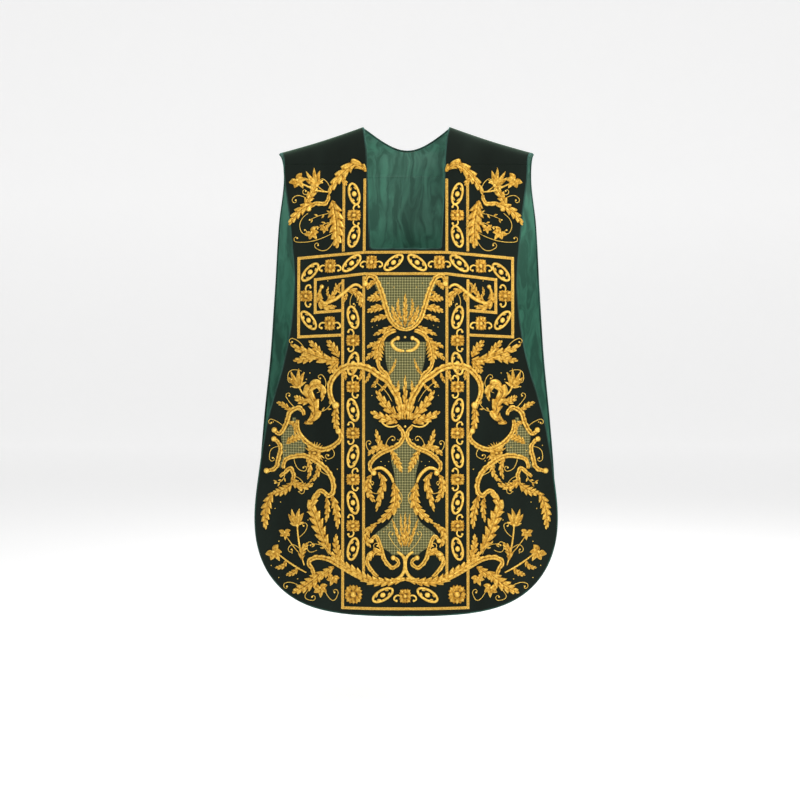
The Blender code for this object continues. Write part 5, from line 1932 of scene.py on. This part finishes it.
class ChasubleColours(PropertyGroup):
    """Colours of the cloths and threads, linear."""

    velvet: colour_property("Velvet", "Velvet where its pile stands", (0.0020, 0.0038, 0.0024))
    velvet_brushed: colour_property(
        "Brushed velvet", "Velvet where it is brushed", (0.0036, 0.0086, 0.0052),
    )
    # Painted sheen: velvet turned over the edge cord, much lighter than the panel's velvet.
    edge: colour_property("Edge", "Velvet over the edge cord, with painted sheen", (0.020, 0.085, 0.062))
    satin: colour_property(
        "Satin", "Lining satin in the dark of its water marks", (0.022, 0.105, 0.068),
    )
    satin_light: colour_property(
        "Light satin", "Lining satin in the light of its marks", (0.060, 0.225, 0.150),
    )
    # Painted shade: the gold's colour down in its folds and at its sunk edges.
    gold_fold_shade: colour_property(
        "Gold fold shade", "Gold thread with painted shade down in its folds", (0.040, 0.018, 0.003),
    )
    gold_deep: colour_property(
        "Deep gold", "Gold thread on the body of a shape", (0.44, 0.210, 0.014),
    )
    gold_light: colour_property(
        "Light gold", "Gold thread where it turns to the light", (0.90, 0.60, 0.12),
    )
    # Darker fleck of the braids, set where their bump is low: random fleck and painted shade.
    braid_fleck_shade: colour_property(
        "Braid gold", "Gold of the braids in the low spots of their fleck, partly painted shade", (0.46, 0.25, 0.035),
    )
    lattice_thread: colour_property(
        "Lattice thread", "Threads over the lattice cloth", (0.62, 0.57, 0.24),
    )
    lattice: colour_property(
        "Lattice cloth", "Cloth under the lattice threads", (0.046, 0.049, 0.011),
    )
    lattice_light: colour_property(
        "Lattice slub", "Slubs of the lattice cloth", (0.105, 0.102, 0.026),
    )
    canvas: colour_property("Canvas", "Stiff canvas between velvet and lining", (0.50, 0.43, 0.31))
    stage: colour_property("Stage", "Floor and backdrop", (0.93, 0.93, 0.93))


class CHASUBLE_OT_stage(Operator):
    """Make the floor, backdrop, lights and camera"""

    bl_idname = "chasuble.stage"
    bl_label = "Stage"

    def execute(self, context):
        make_stage()
        return {"FINISHED"}


class CHASUBLE_OT_shoulders(Operator):
    """Make both shoulder pieces of the yoke"""

    bl_idname = "chasuble.shoulders"
    bl_label = "Shoulders"

    def execute(self, context):
        make_shoulders()
        return {"FINISHED"}


class CHASUBLE_OT_front_cloths(Operator):
    """Make the front panel's velvet, canvas, lining and edging"""

    bl_idname = "chasuble.front_cloths"
    bl_label = "Front Panel"

    def execute(self, context):
        make_panel_cloths("front", FRONT)
        return {"FINISHED"}


class CHASUBLE_OT_back_cloths(Operator):
    """Make the back panel's velvet, canvas, lining and edging"""

    bl_idname = "chasuble.back_cloths"
    bl_label = "Back Panel"

    def execute(self, context):
        make_panel_cloths("back", BACK)
        return {"FINISHED"}


class CHASUBLE_OT_braids(Operator):
    """Make the plaited gold braids of both panels"""

    bl_idname = "chasuble.braids"
    bl_label = "Braids"

    def execute(self, context):
        make_front_braids()
        make_back_braids()
        return {"FINISHED"}


class CHASUBLE_OT_lattices(Operator):
    """Make the lattice grounds of both panels"""

    bl_idname = "chasuble.lattices"
    bl_label = "Lattice Grounds"

    def execute(self, context):
        make_front_lattices()
        make_back_lattices()
        return {"FINISHED"}


class CHASUBLE_OT_front_embroidery(Operator):
    """Make the raised gold embroidery of the front panel"""

    bl_idname = "chasuble.front_embroidery"
    bl_label = "Front Embroidery"

    def execute(self, context):
        make_front_embroidery()
        return {"FINISHED"}


class CHASUBLE_OT_back_embroidery(Operator):
    """Make the raised gold embroidery of the back panel"""

    bl_idname = "chasuble.back_embroidery"
    bl_label = "Back Embroidery"

    def execute(self, context):
        make_back_embroidery()
        return {"FINISHED"}


OPERATORS = (
    CHASUBLE_OT_stage, CHASUBLE_OT_shoulders, CHASUBLE_OT_front_cloths, CHASUBLE_OT_back_cloths,
    CHASUBLE_OT_braids, CHASUBLE_OT_lattices, CHASUBLE_OT_front_embroidery,
    CHASUBLE_OT_back_embroidery,
)


class CHASUBLE_PT_parts(Panel):
    """Lists the chasuble's parts and their sizes and colours."""

    bl_label = "Chasuble"
    bl_idname = "CHASUBLE_PT_parts"
    bl_space_type = "VIEW_3D"
    bl_region_type = "UI"
    bl_category = "Chasuble"

    def draw(self, context):
        layout = self.layout
        for operator in OPERATORS:
            layout.operator(operator.bl_idname)
        for group in (context.scene.chasuble_sizes, context.scene.chasuble_colours):
            box = layout.box()
            for name in group.__annotations__:
                box.prop(group, name)


CLASSES = (ChasubleSizes, ChasubleColours, *OPERATORS, CHASUBLE_PT_parts)


def register():
    for cls in CLASSES:
        bpy.utils.register_class(cls)
    bpy.types.Scene.chasuble_sizes = PointerProperty(type=ChasubleSizes)
    bpy.types.Scene.chasuble_colours = PointerProperty(type=ChasubleColours)


def unregister():
    del bpy.types.Scene.chasuble_colours
    del bpy.types.Scene.chasuble_sizes
    for cls in reversed(CLASSES):
        bpy.utils.unregister_class(cls)


def main():
    register()
    bpy.ops.chasuble.stage()
    bpy.ops.chasuble.shoulders()
    bpy.ops.chasuble.front_cloths()
    bpy.ops.chasuble.back_cloths()
    bpy.ops.chasuble.braids()
    bpy.ops.chasuble.lattices()
    bpy.ops.chasuble.front_embroidery()
    bpy.ops.chasuble.back_embroidery()


if __name__ == "__main__":
    main()
